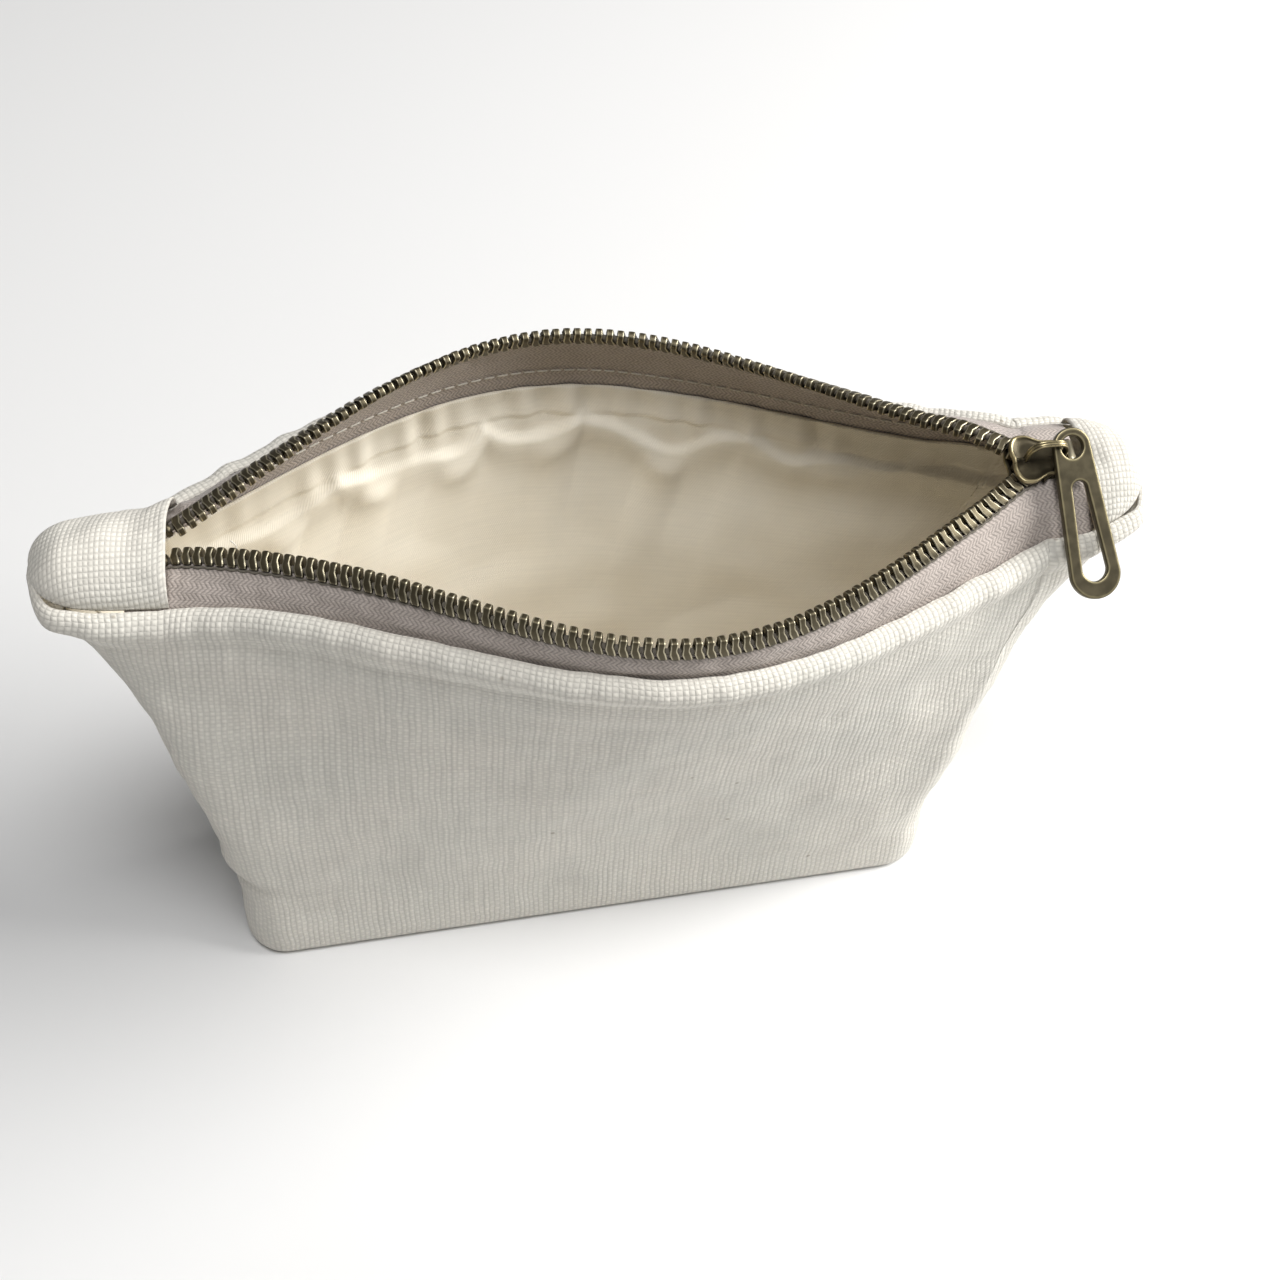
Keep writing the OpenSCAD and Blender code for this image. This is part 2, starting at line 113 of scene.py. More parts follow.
# ---- Layers of cloth, by depth below the canvas's outer face ----
HEM_ROLL_R = 1.35
HEM_L = 6
TAPE_DEPTH = 0.75
LINING_TOP_DEPTH = TAPE_DEPTH + TAPE_T + 0.1
LINING_DEPTH = 2.3
THREAD_DEPTH = 1.55
LINING_THREAD_DEPTH = 3.1
LINING_TOP_V = 0.12

# ---- Shapes that only the looks have ----
FOLD_REACH = 6.0
HEM_STAND = 2.9
HEM_SHOULDER = 3.6
BELOW_FOLD_V = 0.15
LEG_SLANT = 0.75

# ---- Fineness of the meshes ----
COLUMNS = 300
WALL_ROWS = 120
EDGE_ROWS = 8
BASE_ROWS = 12
ROLL_ROWS = 7
TAPE_COLUMNS = 260
TAPE_ROWS = 22


# ---- Small mathematics ----

def lerp(a, b, q):
    return a + (b - a) * q


def ease(v):
    """0 below 0, 1 above 1, smooth in between."""
    q = np.clip(v, 0, 1)
    return q * q * (3 - 2 * q)


def unit(v):
    return v / np.linalg.norm(v, axis=-1, keepdims=True)


def vec(x, y, z):
    return np.stack(np.broadcast_arrays(x, y, z), -1).astype(float)


def bell(v, middle, width):
    """1 at the middle, falling away on both sides."""
    return np.exp(-((v - middle) / width) ** 2)


def bezier(p0, p1, p2, p3, q):
    return p0 * (1 - q) ** 3 + p1 * 3 * (1 - q) ** 2 * q + p2 * 3 * (1 - q) * q * q + p3 * q ** 3


def cloth_noise(u, v, wavelength, seed, count=16):
    """A smooth random height of about unit size, from waves of one rough length."""
    random = np.random.default_rng(seed)
    total = np.zeros(np.broadcast(u, v).shape)
    for _ in range(count):
        angle, phase = random.uniform(0, 2 * math.pi, 2)
        k = 2 * math.pi / (wavelength * random.uniform(0.7, 1.5))
        total += np.cos(k * (u * math.cos(angle) + v * math.sin(angle)) + phase)
    return total / math.sqrt(count / 2)


# ---- The line of the tooth rows ----

def waves(q, bow, skew, peak):
    """A curve that is 0 at both ends, from three sine waves."""
    return bow * np.sin(math.pi * q) + skew * np.sin(2 * math.pi * q) + peak * np.sin(3 * math.pi * q)


def mouth_share(x):
    """How far along the mouth x is, from 0 at the left end to 1 at the right."""
    return np.clip((x - MOUTH_LEFT_X) / (MOUTH_RIGHT_X - MOUTH_LEFT_X), 0, 1)


def row(side, x):
    """Middle of a tooth row at x."""
    q = mouth_share(x)
    if side == FRONT:
        bow = waves(q, FRONT_BOW, -4.4, -1.8)
        free_z = lerp(ZIP_LEFT_Z - 1, ZIP_RIGHT_Z - 1.8, q) + waves(q, 3.2, 3.6, 0.9)
    else:
        bow = waves(q, BACK_BOW, -0.2, -2.3)
        free_z = lerp(ZIP_LEFT_Z + 1, ZIP_RIGHT_Z + 2.2, q) + waves(q, 3.3, 3.2, 0.7)
    y = lerp(1, SLIDER_Y, q) + side * np.sqrt(np.maximum(0, bow) ** 2 + ROW_GAP ** 2)
    slider_z = ZIP_RIGHT_Z + (y - SLIDER_Y) * math.tan(SLIDER_TILT)
    return vec(x, y, lerp(free_z, slider_z, ease((x - 76) / 14)))


def row_slope(side, x):
    return (row(side, x + 0.2) - row(side, x - 0.2)) / 0.4


def along_mouth(x, left, middle, right):
    """A value that is one thing at the middle of the mouth and another at each end."""
    q = mouth_share(x)
    at_left = np.maximum(0, 1 - q / 0.5) ** 1.5
    at_right = np.maximum(0, 1 - (1 - q) / 0.42) ** 1.5
    return middle + (left - middle) * at_left + (right - middle) * at_right


def away(side, x, lean, reach=0.2):
    """Direction from the row down into the pouch, at a lean in degrees from straight down."""
    d = row(side, x + reach) - row(side, x - reach)
    out = unit(vec(-side * d[..., 1], side * d[..., 0], 0))
    a = np.radians(lean)[..., None]
    return out * np.sin(a) + np.array([0, 0, -1]) * np.cos(a)


def tooth_lean(side, x):
    """Lean of the teeth and the tape next to them, in degrees from straight down."""
    tilt = math.degrees(SLIDER_TILT)
    if side == FRONT:
        return along_mouth(x, 84, FRONT_LEAN, 90 - tilt)
    return along_mouth(x, 90, BACK_LEAN, 90 + tilt)


def fold_lean(side, x):
    """Lean of the line from the teeth to the canvas's fold."""
    if side == FRONT:
        return along_mouth(x, 76, FRONT_LEAN, 52)
    return along_mouth(x, 66, BACK_LEAN, 76)


def row_axes(side, x):
    """Across towards the mouth, square to the tape, and along the row."""
    t = unit(row_slope(side, x))
    b = unit(np.cross(t, -away(side, x, tooth_lean(side, x))))
    return np.cross(b, t), b, t


# ---- The panels' outer face ----

def reveal(side, x):
    """Width of tape that shows; the front panel's rolled edge stands up over some of it."""
    if side == FRONT:
        return along_mouth(x, 11.4, TAPE_REVEAL - 2.6, 14.4) - 0.9 * bell(x, -66, 14)
    return along_mouth(x, 13.2, TAPE_REVEAL, 13.4)


def fold(side, x):
    """The folded top edge of a panel, along the mouth."""
    return row(side, x) + away(side, x, fold_lean(side, x), FOLD_REACH) * reveal(side, x)[..., None]


def fold_x(s):
    """X of the fold at a share of the panel's outline, from seam to seam."""
    return lerp(FOLD_LEFT_X, FOLD_RIGHT_X, (s - EAR_LEFT) / (1 - EAR_LEFT - EAR_RIGHT))


def outline_share(x):
    """The reverse of fold_x."""
    along = (x - FOLD_LEFT_X) / (FOLD_RIGHT_X - FOLD_LEFT_X)
    return EAR_LEFT + along * (1 - EAR_LEFT - EAR_RIGHT)


def ear(side, q, end):
    """Edge of a panel from its seam (q = 0) to the start of the mouth, end being -1 or 1."""
    tip_z = ZIP_LEFT_Z - 1 if end < 0 else ZIP_RIGHT_Z - 4.5
    tip_x = -EAR_LEFT_X if end < 0 else EAR_RIGHT_X
    tip = np.array([tip_x, side * SEAM_GAP, tip_z])
    start = fold(side, fold_x(np.array(EAR_LEFT if end < 0 else 1 - EAR_RIGHT)))
    reach = (tip_x - start[0]) * 0.5
    bend = start + np.array([reach, -side * 0.8, 0.4])
    return bezier(tip, tip + np.array([0, side * 14, -0.8]), bend, start, q[:, None])


def rim(side, s):
    """A panel's whole top edge: an ear, the fold and the other ear."""
    top = fold(side, fold_x(s))
    left = s < EAR_LEFT
    right = s > 1 - EAR_RIGHT
    top[left] = ear(side, s[left] / EAR_LEFT, -1)
    top[right] = ear(side, (1 - s[right]) / EAR_RIGHT, 1)
    return top


def base_edge(side, s, inset):
    """Edge of the base: half of a rectangle with round corners, by length along it."""
    hx, hy, r = BASE_HALF_LENGTH - inset, BASE_HALF_DEPTH - inset, BASE_CORNER_R - inset
    q = np.minimum(s, 1 - s)
    flank, arc = hy - r, math.pi * r / 2
    d = q * 2 * (flank + arc + hx - r)
    a = np.clip((d - flank) / r, 0, math.pi / 2)
    straight = np.maximum(0, d - flank - arc)
    x = (r - hx - r * np.cos(a) + straight) * np.where(s > 0.5, -1, 1)
    y = np.minimum(d, flank) + r * np.sin(a)
    skew = BASE_SKEW * np.clip(y / BASE_HALF_DEPTH, 0, 1) * x / BASE_HALF_LENGTH
    return vec(x, side * (y + SEAM_GAP) + skew, 0)


def hang(side, s):
    """Direction in which a panel leaves its top edge."""
    x = np.clip(fold_x(s), MOUTH_LEFT_X, MOUTH_RIGHT_X)
    middle = away(side, x, np.minimum(25, fold_lean(side, x) * 0.8), FOLD_REACH)
    ear_way = vec(np.where(s < 0.5, 0.62, -0.62), 0, -0.78)
    share = ease(np.where(s < 0.5, 1 - s / (EAR_LEFT * 1.25), 1 - (1 - s) / (EAR_RIGHT * 1.6)))
    return unit(lerp(middle, ear_way, share[:, None]))


def wall(side, s, v):
    """Outer face of a panel's wall, v being a number or an array like s."""
    top, foot = rim(side, s), base_edge(side, s, 0) + np.array([0, 0, BASE_EDGE_R])
    down = np.broadcast_to(v, s.shape)[:, None]
    return bezier(top, top + hang(side, s) * 24, foot + np.array([0, 0, 52]), foot, down)


def skin(side, s, v):
    """Outer face of a panel: down the wall (v to 1), round the edge (to 2), under the base (to 3)."""
    up = np.array([0, 0, BASE_EDGE_R])
    if v <= 1:
        return wall(side, s, v)
    if v <= 2:
        a = (v - 1) * math.pi / 2
        return base_edge(side, s, BASE_EDGE_R * (1 - math.cos(a))) + up * (1 - math.sin(a))
    seam = vec(lerp(-1, 1, s) * (BASE_HALF_LENGTH - 5), side * SEAM_GAP, 0)
    return lerp(base_edge(side, s, BASE_EDGE_R), seam, v - 2)


def skin_grid(side, s, vs):
    """Points of the outer face, and the inward direction at each."""
    points = np.stack([skin(side, s, v) for v in vs])
    across = np.gradient(points, axis=1)
    down = np.gradient(points, axis=0)
    return points, unit(np.cross(across, down)) * -side


def lengths(points):
    """Distance down each column from its top, and along each row from its middle."""
    step = np.linalg.norm(np.diff(points, axis=0), axis=-1)
    down = np.concatenate([np.zeros((1, points.shape[1])), np.cumsum(step, axis=0)])
    step = np.linalg.norm(np.diff(points, axis=1), axis=-1)
    along = np.concatenate([np.zeros((points.shape[0], 1)), np.cumsum(step, axis=1)], axis=1)
    return down, along - along[:, points.shape[1] // 2][:, None]


def under(side, s, v, depth):
    """Points at a depth below the wall's outer face, for arrays s and v of one length."""
    e = 0.004
    across = wall(side, np.minimum(1, s + e), v) - wall(side, np.maximum(0, s - e), v)
    n = np.cross(across, wall(side, s, v + e) - wall(side, s, np.maximum(0, v - e)))
    n[(s == 0) | (s == 1), 1] = 0
    return wall(side, s, v) - side * depth * unit(n)


# ---- Making pieces ----

def piece(name, points, faces, material, replaced, body="pouch", uv=None, wear=None):
    """A mesh object, from points in millimetres, that rides on a body and replaces CAD nodes."""
    mesh = bpy.data.meshes.new(name)
    mesh.from_pydata((np.asarray(points, float) * MM).tolist(), [], faces)
    mesh.materials.append(material)
    if uv is not None:
        corner = np.zeros(len(mesh.loops), int)
        mesh.loops.foreach_get("vertex_index", corner)
        mesh.uv_layers.new(name="Cloth").data.foreach_set("uv", np.asarray(uv, float)[corner].ravel())
    if wear is not None:
        layer = mesh.attributes.new("wear", "FLOAT", "POINT")
        layer.data.foreach_set("value", np.asarray(wear, np.float32))
    mesh.validate()
    mesh.shade_smooth()
    obj = bpy.data.objects.new(name, mesh)
    scene.collection.objects.link(obj)
    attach(obj, body)
    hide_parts(*replaced)
    return obj


def outward(points, quads):
    """The quads, turned over if they enclose a negative volume."""
    q = np.asarray(quads)
    a, b, c, d = (points[q[:, i]] for i in range(4))
    volume = np.einsum("ij,ij->i", a, np.cross(b, c)).sum() + np.einsum("ij,ij->i", a, np.cross(c, d)).sum()
    return q if volume > 0 else q[:, ::-1]


def closed_rings(points, rings, sides):
    """Faces of a closed skin over rings of points, with a flat face at each end."""
    at = np.arange(rings * sides).reshape(rings, sides)
    beside = np.roll(at, -1, axis=1)
    quads = np.stack([at[:-1], beside[:-1], beside[1:], at[1:]], -1).reshape(-1, 4)
    turned = outward(points, quads)
    ends = [at[0][::-1].tolist(), at[-1].tolist()]
    if turned[0][0] != quads[0][0]:
        ends = [end[::-1] for end in ends]
    return turned.tolist() + ends


def half_turn():
    """Angles for the rows of points round a rolled edge, shaped to fit a grid."""
    return (np.arange(ROLL_ROWS) + 1)[:, None, None] * math.pi / (ROLL_ROWS + 1)


def closed_sheet(face, crown, rear):
    """Points and quads of cloth between two grids, with rows of points round its top edge."""
    loop = np.concatenate([face[::-1], crown, rear])
    rows, columns = loop.shape[:2]
    points = loop.reshape(-1, 3)
    at = np.arange(rows * columns).reshape(rows, columns)
    wrap = np.roll(at, -1, axis=0)
    quads = np.stack([at[:, :-1], at[:, 1:], wrap[:, 1:], wrap[:, :-1]], -1).reshape(-1, 4)
    half = (rows + 1) // 2
    sides = []
    for column, order in ((0, 1), (columns - 1, -1)):
        near, far = at[:half, column], at[::-1, column][:half]
        strip = np.stack([near[:-1], near[1:], far[1:], far[:-1]], -1)
        sides.append(strip[:, ::order])
    faces = outward(points, np.concatenate([quads, *sides])).tolist()
    # With an odd number of rows the last face of each side strip is a triangle
    return points, [list(dict.fromkeys(face)) for face in faces]


def sheet_uv(face_uv, crown_rows, rear_uv):
    """Cloth coordinates for closed_sheet's points: the crown takes a blend of its two sides."""
    steps = (np.arange(crown_rows) + 1)[:, None, None] / (crown_rows + 1)
    crown = lerp(face_uv[0], rear_uv[0], steps)
    return np.concatenate([face_uv[::-1], crown, rear_uv]).reshape(-1, 2)


def tube(centres, across, up, radius, sides=10):
    """Points and quads of a closed tube; radius is one number for each centre."""
    turn = 2 * math.pi * np.arange(sides) / sides
    ring = across[:, None] * np.cos(turn)[None, :, None] + up[:, None] * np.sin(turn)[None, :, None]
    points = centres[:, None] + ring * np.asarray(radius)[:, None, None]
    points[0], points[-1] = centres[0] + ring[0] * 0.05, centres[-1] + ring[-1] * 0.05
    flat = points.reshape(-1, 3)
    return flat, closed_rings(flat, len(centres), sides)


def join(parts):
    """One set of points and faces from several."""
    points, faces, start = [], [], 0
    for p, f in parts:
        points.append(p)
        faces += [[i + start for i in face] for face in f]
        start += len(p)
    return np.concatenate(points), faces


# ---- Materials ----

class Look:
    """One procedural material, with short ways to add its nodes."""

    def __init__(self, name, roughness, metallic=0.0, sheen=0.0):
        self.material = bpy.data.materials.new(name)
        self.material.use_nodes = True
        self.tree = self.material.node_tree
        self.shader = self.tree.nodes["Principled BSDF"]
        self.shader.inputs["Roughness"].default_value = roughness
        self.shader.inputs["Metallic"].default_value = metallic
        self.shader.inputs["Sheen Weight"].default_value = sheen
        self.shader.inputs["Sheen Roughness"].default_value = 0.4

    def put(self, value, socket):
        """A constant or another node's output into a socket."""
        if isinstance(value, bpy.types.NodeSocket):
            self.tree.links.new(value, socket)
        elif socket.type == "VECTOR":
            socket.default_value = value[:3]
        else:
            socket.default_value = value

    def math(self, operation, *values):
        node = self.tree.nodes.new("ShaderNodeMath")
        node.operation = operation
        for i, value in enumerate(values):
            self.put(value, node.inputs[i])
        return node.outputs[0]

    def times(self, a, b):
        return self.math("MULTIPLY", a, b)

    def plus(self, a, b):
        return self.math("ADD", a, b)

    def minus(self, a, b):
        return self.math("SUBTRACT", a, b)

    def line(self, value, gain, start):
        """The value times a gain, plus a start."""
        return self.math("MULTIPLY_ADD", value, gain, start)

    def ridges(self, value):
        """Rounded ridges of height 1, one for each unit of the value."""
        return self.math("ABSOLUTE", self.math("SINE", self.times(value, math.pi)))

    def mix(self, share, a, b):
        """The first colour where share is 0, the second where it is 1."""
        node = self.tree.nodes.new("ShaderNodeMix")
        node.data_type = "RGBA"
        self.put(share, node.inputs[0])
        self.put(a, node.inputs[6])
        self.put(b, node.inputs[7])
        return node.outputs[2]

    def shade(self, colour, value):
        """The colour, times a grey value."""
        node = self.tree.nodes.new("ShaderNodeVectorMath")
        node.operation = "SCALE"
        self.put(colour, node.inputs[0])
        self.put(value, node.inputs["Scale"])
        return node.outputs[0]

    def ramp(self, value, low, high):
        """0 where value is below low, 1 above high, smooth in between."""
        node = self.tree.nodes.new("ShaderNodeMapRange")
        node.interpolation_type = "SMOOTHSTEP"
        self.put(value, node.inputs[0])
        node.inputs[1].default_value = low
        node.inputs[2].default_value = high
        return node.outputs[0]

    def cloth_axes(self):
        """Distance along and down the cloth, in millimetres."""
        source = self.tree.nodes.new("ShaderNodeUVMap")
        source.uv_map = "Cloth"
        split = self.tree.nodes.new("ShaderNodeSeparateXYZ")
        self.tree.links.new(source.outputs[0], split.inputs[0])
        return split.outputs[0], split.outputs[1]

    def place(self, x, y):
        node = self.tree.nodes.new("ShaderNodeCombineXYZ")
        self.put(x, node.inputs[0])
        self.put(y, node.inputs[1])
        return node.outputs[0]

    def solid_place(self):
        """Place on the piece itself, in metres."""
        return self.tree.nodes.new("ShaderNodeTexCoord").outputs["Object"]

    def noise(self, place, scale, detail=2.0):
        """Smooth noise from 0 to 1; scale is in lumps for each unit of the place."""
        node = self.tree.nodes.new("ShaderNodeTexNoise")
        self.put(place, node.inputs["Vector"])
        node.inputs["Scale"].default_value = scale
        node.inputs["Detail"].default_value = detail
        return node.outputs["Fac"]

    def specks(self, place, scale, share, radius):
        """1 on a few small spots, 0 elsewhere."""
        node = self.tree.nodes.new("ShaderNodeTexVoronoi")
        self.put(place, node.inputs["Vector"])
        node.inputs["Scale"].default_value = scale
        split = self.tree.nodes.new("ShaderNodeSeparateColor")
        self.tree.links.new(node.outputs["Color"], split.inputs[0])
        chosen = self.math("LESS_THAN", split.outputs[0], share)
        near = self.minus(1.0, self.ramp(node.outputs["Distance"], radius * 0.4, radius))
        return self.times(chosen, near)

    def bump(self, height, depth, strength=1.0, base=None):
        """Bumps of a depth in metres; base is a bump under this one."""
        node = self.tree.nodes.new("ShaderNodeBump")
        node.inputs["Strength"].default_value = strength
        node.inputs["Distance"].default_value = depth
        self.put(height, node.inputs["Height"])
        if base is not None:
            self.tree.links.new(base, node.inputs["Normal"])
        self.tree.links.new(node.outputs[0], self.shader.inputs["Normal"])
        return node.outputs[0]

    def colour(self, socket):
        self.tree.links.new(socket, self.shader.inputs["Base Color"])


def plain_weave(look, u, v, pitch_u, pitch_v):
    """Height of a plain weave whose warp stands in rows of beads over a lower weft."""
    a = look.math("DIVIDE", u, pitch_u)
    b = look.math("DIVIDE", v, pitch_v)
    across = look.ridges(a)
    along = look.ridges(b)
    cells = look.plus(look.math("FLOOR", a), look.math("FLOOR", b))
    weft_over = look.math("FLOORED_MODULO", cells, 2.0)
    warp_beads = look.line(along, 0.55, 0.45)
    warp = look.times(look.math("POWER", across, 0.7), warp_beads)
    weft_beads = look.line(across, 0.5, 0.12)
    weft = look.times(look.math("POWER", along, 0.7), weft_beads)
    difference = look.minus(weft, warp)
    return look.line(difference, weft_over, warp)


def canvas_look():
    """Undyed canvas: a plain weave with slubs along both yarns, a few dark flecks, and painted shade in the
    weave's hollows.
    """
    look = Look("canvas_weave", roughness=0.92, sheen=0.12)
    u, v = look.cloth_axes()
    place = look.place(u, v)
    wander = look.times(look.minus(look.noise(place, 0.09), 0.5), 1.6)
    u = look.plus(u, wander)
    weave = plain_weave(look, u, v, 1.28, 1.05)
    warp_slub = look.noise(look.place(look.times(u, 1.1), look.times(v, 0.05)), 1.0)
    weft_slub = look.noise(look.place(look.times(u, 0.05), look.times(v, 1.2)), 1.0)
    slub = look.plus(warp_slub, look.times(weft_slub, 0.5))
    patch = look.ramp(look.noise(place, 0.035, 3.0), 0.35, 0.65)
    warm = (0.82, 0.785, 0.71, 1)
    cool = (0.785, 0.76, 0.69, 1)
    base = look.mix(patch, warm, cool)
    # Painted shade: the colour is darker where the weave is low, in the hollows between the yarns
    relief = look.line(weave, 0.22, 0.83)
    streaks = look.line(look.minus(slub, 0.75), 0.34, 1.0)
    base = look.shade(base, look.times(relief, streaks))
    speck = look.times(look.specks(place, 0.16, 0.09, 0.12), 0.55)
    look.colour(look.mix(speck, base, (0.26, 0.20, 0.13, 1)))
    height = look.plus(weave, look.times(slub, 0.35))
    fuzz = look.bump(look.noise(place, 9.0, 3.0), 0.00003)
    look.bump(height, 0.00019, 1.0, fuzz)
    return look.material


def lining_look():
    """Cream sateen with a fine slanted rib, and painted shade in the rib's hollows."""
    look = Look("lining_sateen", roughness=0.62, sheen=0.25)
    u, v = look.cloth_axes()
    place = look.place(u, v)
    slant = look.plus(look.times(u, 1 / 0.62), look.times(v, 1 / 0.9))
    rib = look.ridges(slant)
    yarn = look.noise(look.place(look.times(u, 0.06), look.times(v, 1.6)), 1.0, 3.0)
    patch = look.noise(place, 0.05, 2.0)
    base = look.mix(patch, (0.90, 0.825, 0.68, 1), (0.92, 0.87, 0.755, 1))
    # Painted shade: darker in the rib's hollows; the yarn noise is the cloth's own uneven tone
    shade_and_tone = look.line(rib, 0.07, 0.93)
    shade_and_tone = look.times(shade_and_tone, look.line(yarn, 0.12, 0.94))
    look.colour(look.shade(base, shade_and_tone))
    look.bump(look.plus(rib, look.times(yarn, 0.8)), 0.00006, 0.8)
    return look.material


def tape_look():
    """Herringbone: slanted yarns in bands that turn back and forth, with painted shade where the yarns are
    low.
    """
    look = Look("zip_tape_twill", roughness=0.85, sheen=0.25)
    u, v = look.cloth_axes()
    place = look.place(u, v)
    zigzag = look.math("PINGPONG", v, 1.3)
    slant = look.plus(look.math("DIVIDE", u, 1.05), look.times(zigzag, 0.9))
    rib = look.ridges(slant)
    pick = look.ridges(look.times(v, 2))
    knit = look.times(rib, look.line(pick, 0.4, 0.6))
    patch = look.noise(place, 0.12, 3.0)
    base = look.mix(patch, (0.45, 0.39, 0.35, 1), (0.56, 0.495, 0.455, 1))
    fleck = look.line(look.noise(place, 1.6, 3.0), 0.8, 0.6)
    # Painted shade: darker where the knit is low; the fleck noise is the tape's own uneven tone
    look.colour(look.shade(base, look.times(fleck, look.line(knit, 0.5, 0.62))))
    look.bump(look.plus(knit, fleck), 0.00009, 0.8)
    return look.material


def yarn_look(name, colour, pitch):
    """A twisted cord or thread, with painted shade where its twist is low."""
    look = Look(name, roughness=0.9, sheen=0.3)
    place = look.solid_place()
    twist = look.noise(place, 1 / (pitch * MM), 2.0)
    # Painted shade: the colour is darker where the twist's bump is low
    look.colour(look.shade(colour, look.line(twist, 0.5, 0.72)))
    look.bump(twist, 0.00012)
    return look.material


def brass_look(name, dark, bright, roughness):
    """Antique brass: dark in the hollows, worn bright along the edges."""
    look = Look(name, roughness=roughness, metallic=0.75)
    place = look.solid_place()
    node = look.tree.nodes.new("ShaderNodeAttribute")
    node.attribute_name = "wear"
    cloud = look.noise(place, 420.0, 4.0)
    fine = look.noise(place, 4200.0, 3.0)
    blotch = look.minus(cloud, 0.5)
    edge = look.plus(node.outputs["Fac"], look.times(blotch, 0.3))
    worn = look.ramp(edge, 0.25, 0.95)
    paler = tuple(1.35 * channel for channel in dark[:3]) + (1,)
    patina = look.mix(look.ramp(cloud, 0.3, 0.75), dark, paler)
    look.colour(look.mix(worn, patina, bright))
    rough = look.line(blotch, 0.16, roughness)
    look.put(look.line(worn, -0.10, rough), look.shader.inputs["Roughness"])
    look.bump(fine, 0.000012, 0.5)
    return look.material


CANVAS = canvas_look()
LINING = lining_look()
TAPE = tape_look()
EDGING = yarn_look("tape_edging", (0.17, 0.15, 0.12, 1), 0.5)
THREAD = yarn_look("sewing_thread", (0.78, 0.75, 0.68, 1), 0.3)
TEETH_BRASS = brass_look("teeth_brass", (0.085, 0.071, 0.043, 1), (0.50, 0.45, 0.32, 1), 0.45)
SLIDER_BRASS = brass_look("slider_brass", (0.055, 0.045, 0.026, 1), (0.40, 0.335, 0.19, 1), 0.40)
PULL_BRASS = brass_look("pull_brass", (0.10, 0.085, 0.052, 1), (0.44, 0.38, 0.22, 1), 0.42)


# ---- The outer canvas ----

def panel_rows(top_v):
    """Where a panel's rows of points lie, closer together near the top of the wall."""
    wall = top_v + (1 - top_v) * (np.arange(WALL_ROWS) / WALL_ROWS) ** 1.25
    edge = 1 + np.arange(EDGE_ROWS) / EDGE_ROWS
    return np.concatenate([wall, edge, 2.0 + np.linspace(0.0, 1, BASE_ROWS)])


def panel_grid(side, top_v):
    """A panel's plain shape: points, inward directions, distances down and along the cloth, where
    the wall ends, and the distance from the nearer side seam."""
    points, inward = skin_grid(side, np.linspace(0, 1, COLUMNS + 1), panel_rows(top_v))
    down, along = lengths(points)
    edge = np.minimum(along - along[:, :1], along[:, -1:] - along)
    return points, inward, down, along, down[WALL_ROWS][None, :], edge


def dent(u, d, at_u, at_d, length, width, angle):
    """A soft hollow of depth 1 in the cloth."""
    du, dd = u - at_u, d - at_d
    c, s = math.cos(angle), math.sin(angle)
    return np.exp(-((du * c + dd * s) / length) ** 2 - ((dd * c - du * s) / width) ** 2)


def canvas_relief(side, u, d, edge, foot):
    """How far the canvas stands out from its plain shape.

    u and d run along and down the cloth, edge is the distance from the nearer side seam, and
    foot is where d reaches the base.
    """
    seed = 11 if side == FRONT else 23
    shoulder = np.sqrt(1 - (1 - np.clip(d / HEM_SHOULDER, 0, 1)) ** 2)
    hem = HEM_STAND * shoulder * (1 - ease((d - HEM_SHOULDER) / 6.5)) * ease(edge / 12)
    hem += 0.5 * ease(d / 4) * (1 - ease((d - 9) / 14)) * ease(edge / 12)
    pucker = cloth_noise(u, d * 0.3, 8, seed) * 0.16 * bell(d, 3, 7)
    slack = 0.6 * cloth_noise(u, d, 75, seed + 1) + 0.28 * cloth_noise(u, d, 30, seed + 2)
    slack += 0.10 * cloth_noise(u, d * 1.4, 12, seed + 3)
    wall = ease((foot - d) / 16) * ease((d - 8) / 22) * ease(edge / 14)
    groove = -0.5 * np.exp(-(edge / 1.5) ** 2) * ease((foot + 30 - d) / 20)
    gather = cloth_noise(d, edge * 0.4, 11, seed + 4) * 0.08 * np.exp(-edge / 5) * ease((foot - d) / 10)
    folds = np.zeros_like(d)
    if side == FRONT:
        folds -= 1.5 * dent(u, d, -88, foot - 26, 9, 3.2, math.radians(24))
        folds += 0.8 * dent(u, d, -94, foot - 33, 8, 3.0, math.radians(18))
        folds -= 0.5 * dent(u, d, 84, foot - 18, 11, 4.5, math.radians(-32))
        folds -= 1.0 * dent(u, d, -95, 24, 26, 6.0, math.radians(28))
        folds += 0.7 * dent(u, d, -88, 12, 26, 5.0, math.radians(20))
        folds -= 0.4 * dent(u, d, 104, 26, 20, 6.0, math.radians(-34))
    else:
        folds -= 1.3 * dent(u, d, 84, foot - 24, 10, 3.6, math.radians(-28))
        folds -= 1.0 * dent(u, d, -86, foot - 18, 9, 3.4, math.radians(30))
        folds -= 0.9 * dent(u, d, -98, 28, 24, 6.0, math.radians(26))
    return hem + pucker + slack * wall + groove + gather + folds * ease((foot - d) / 8)


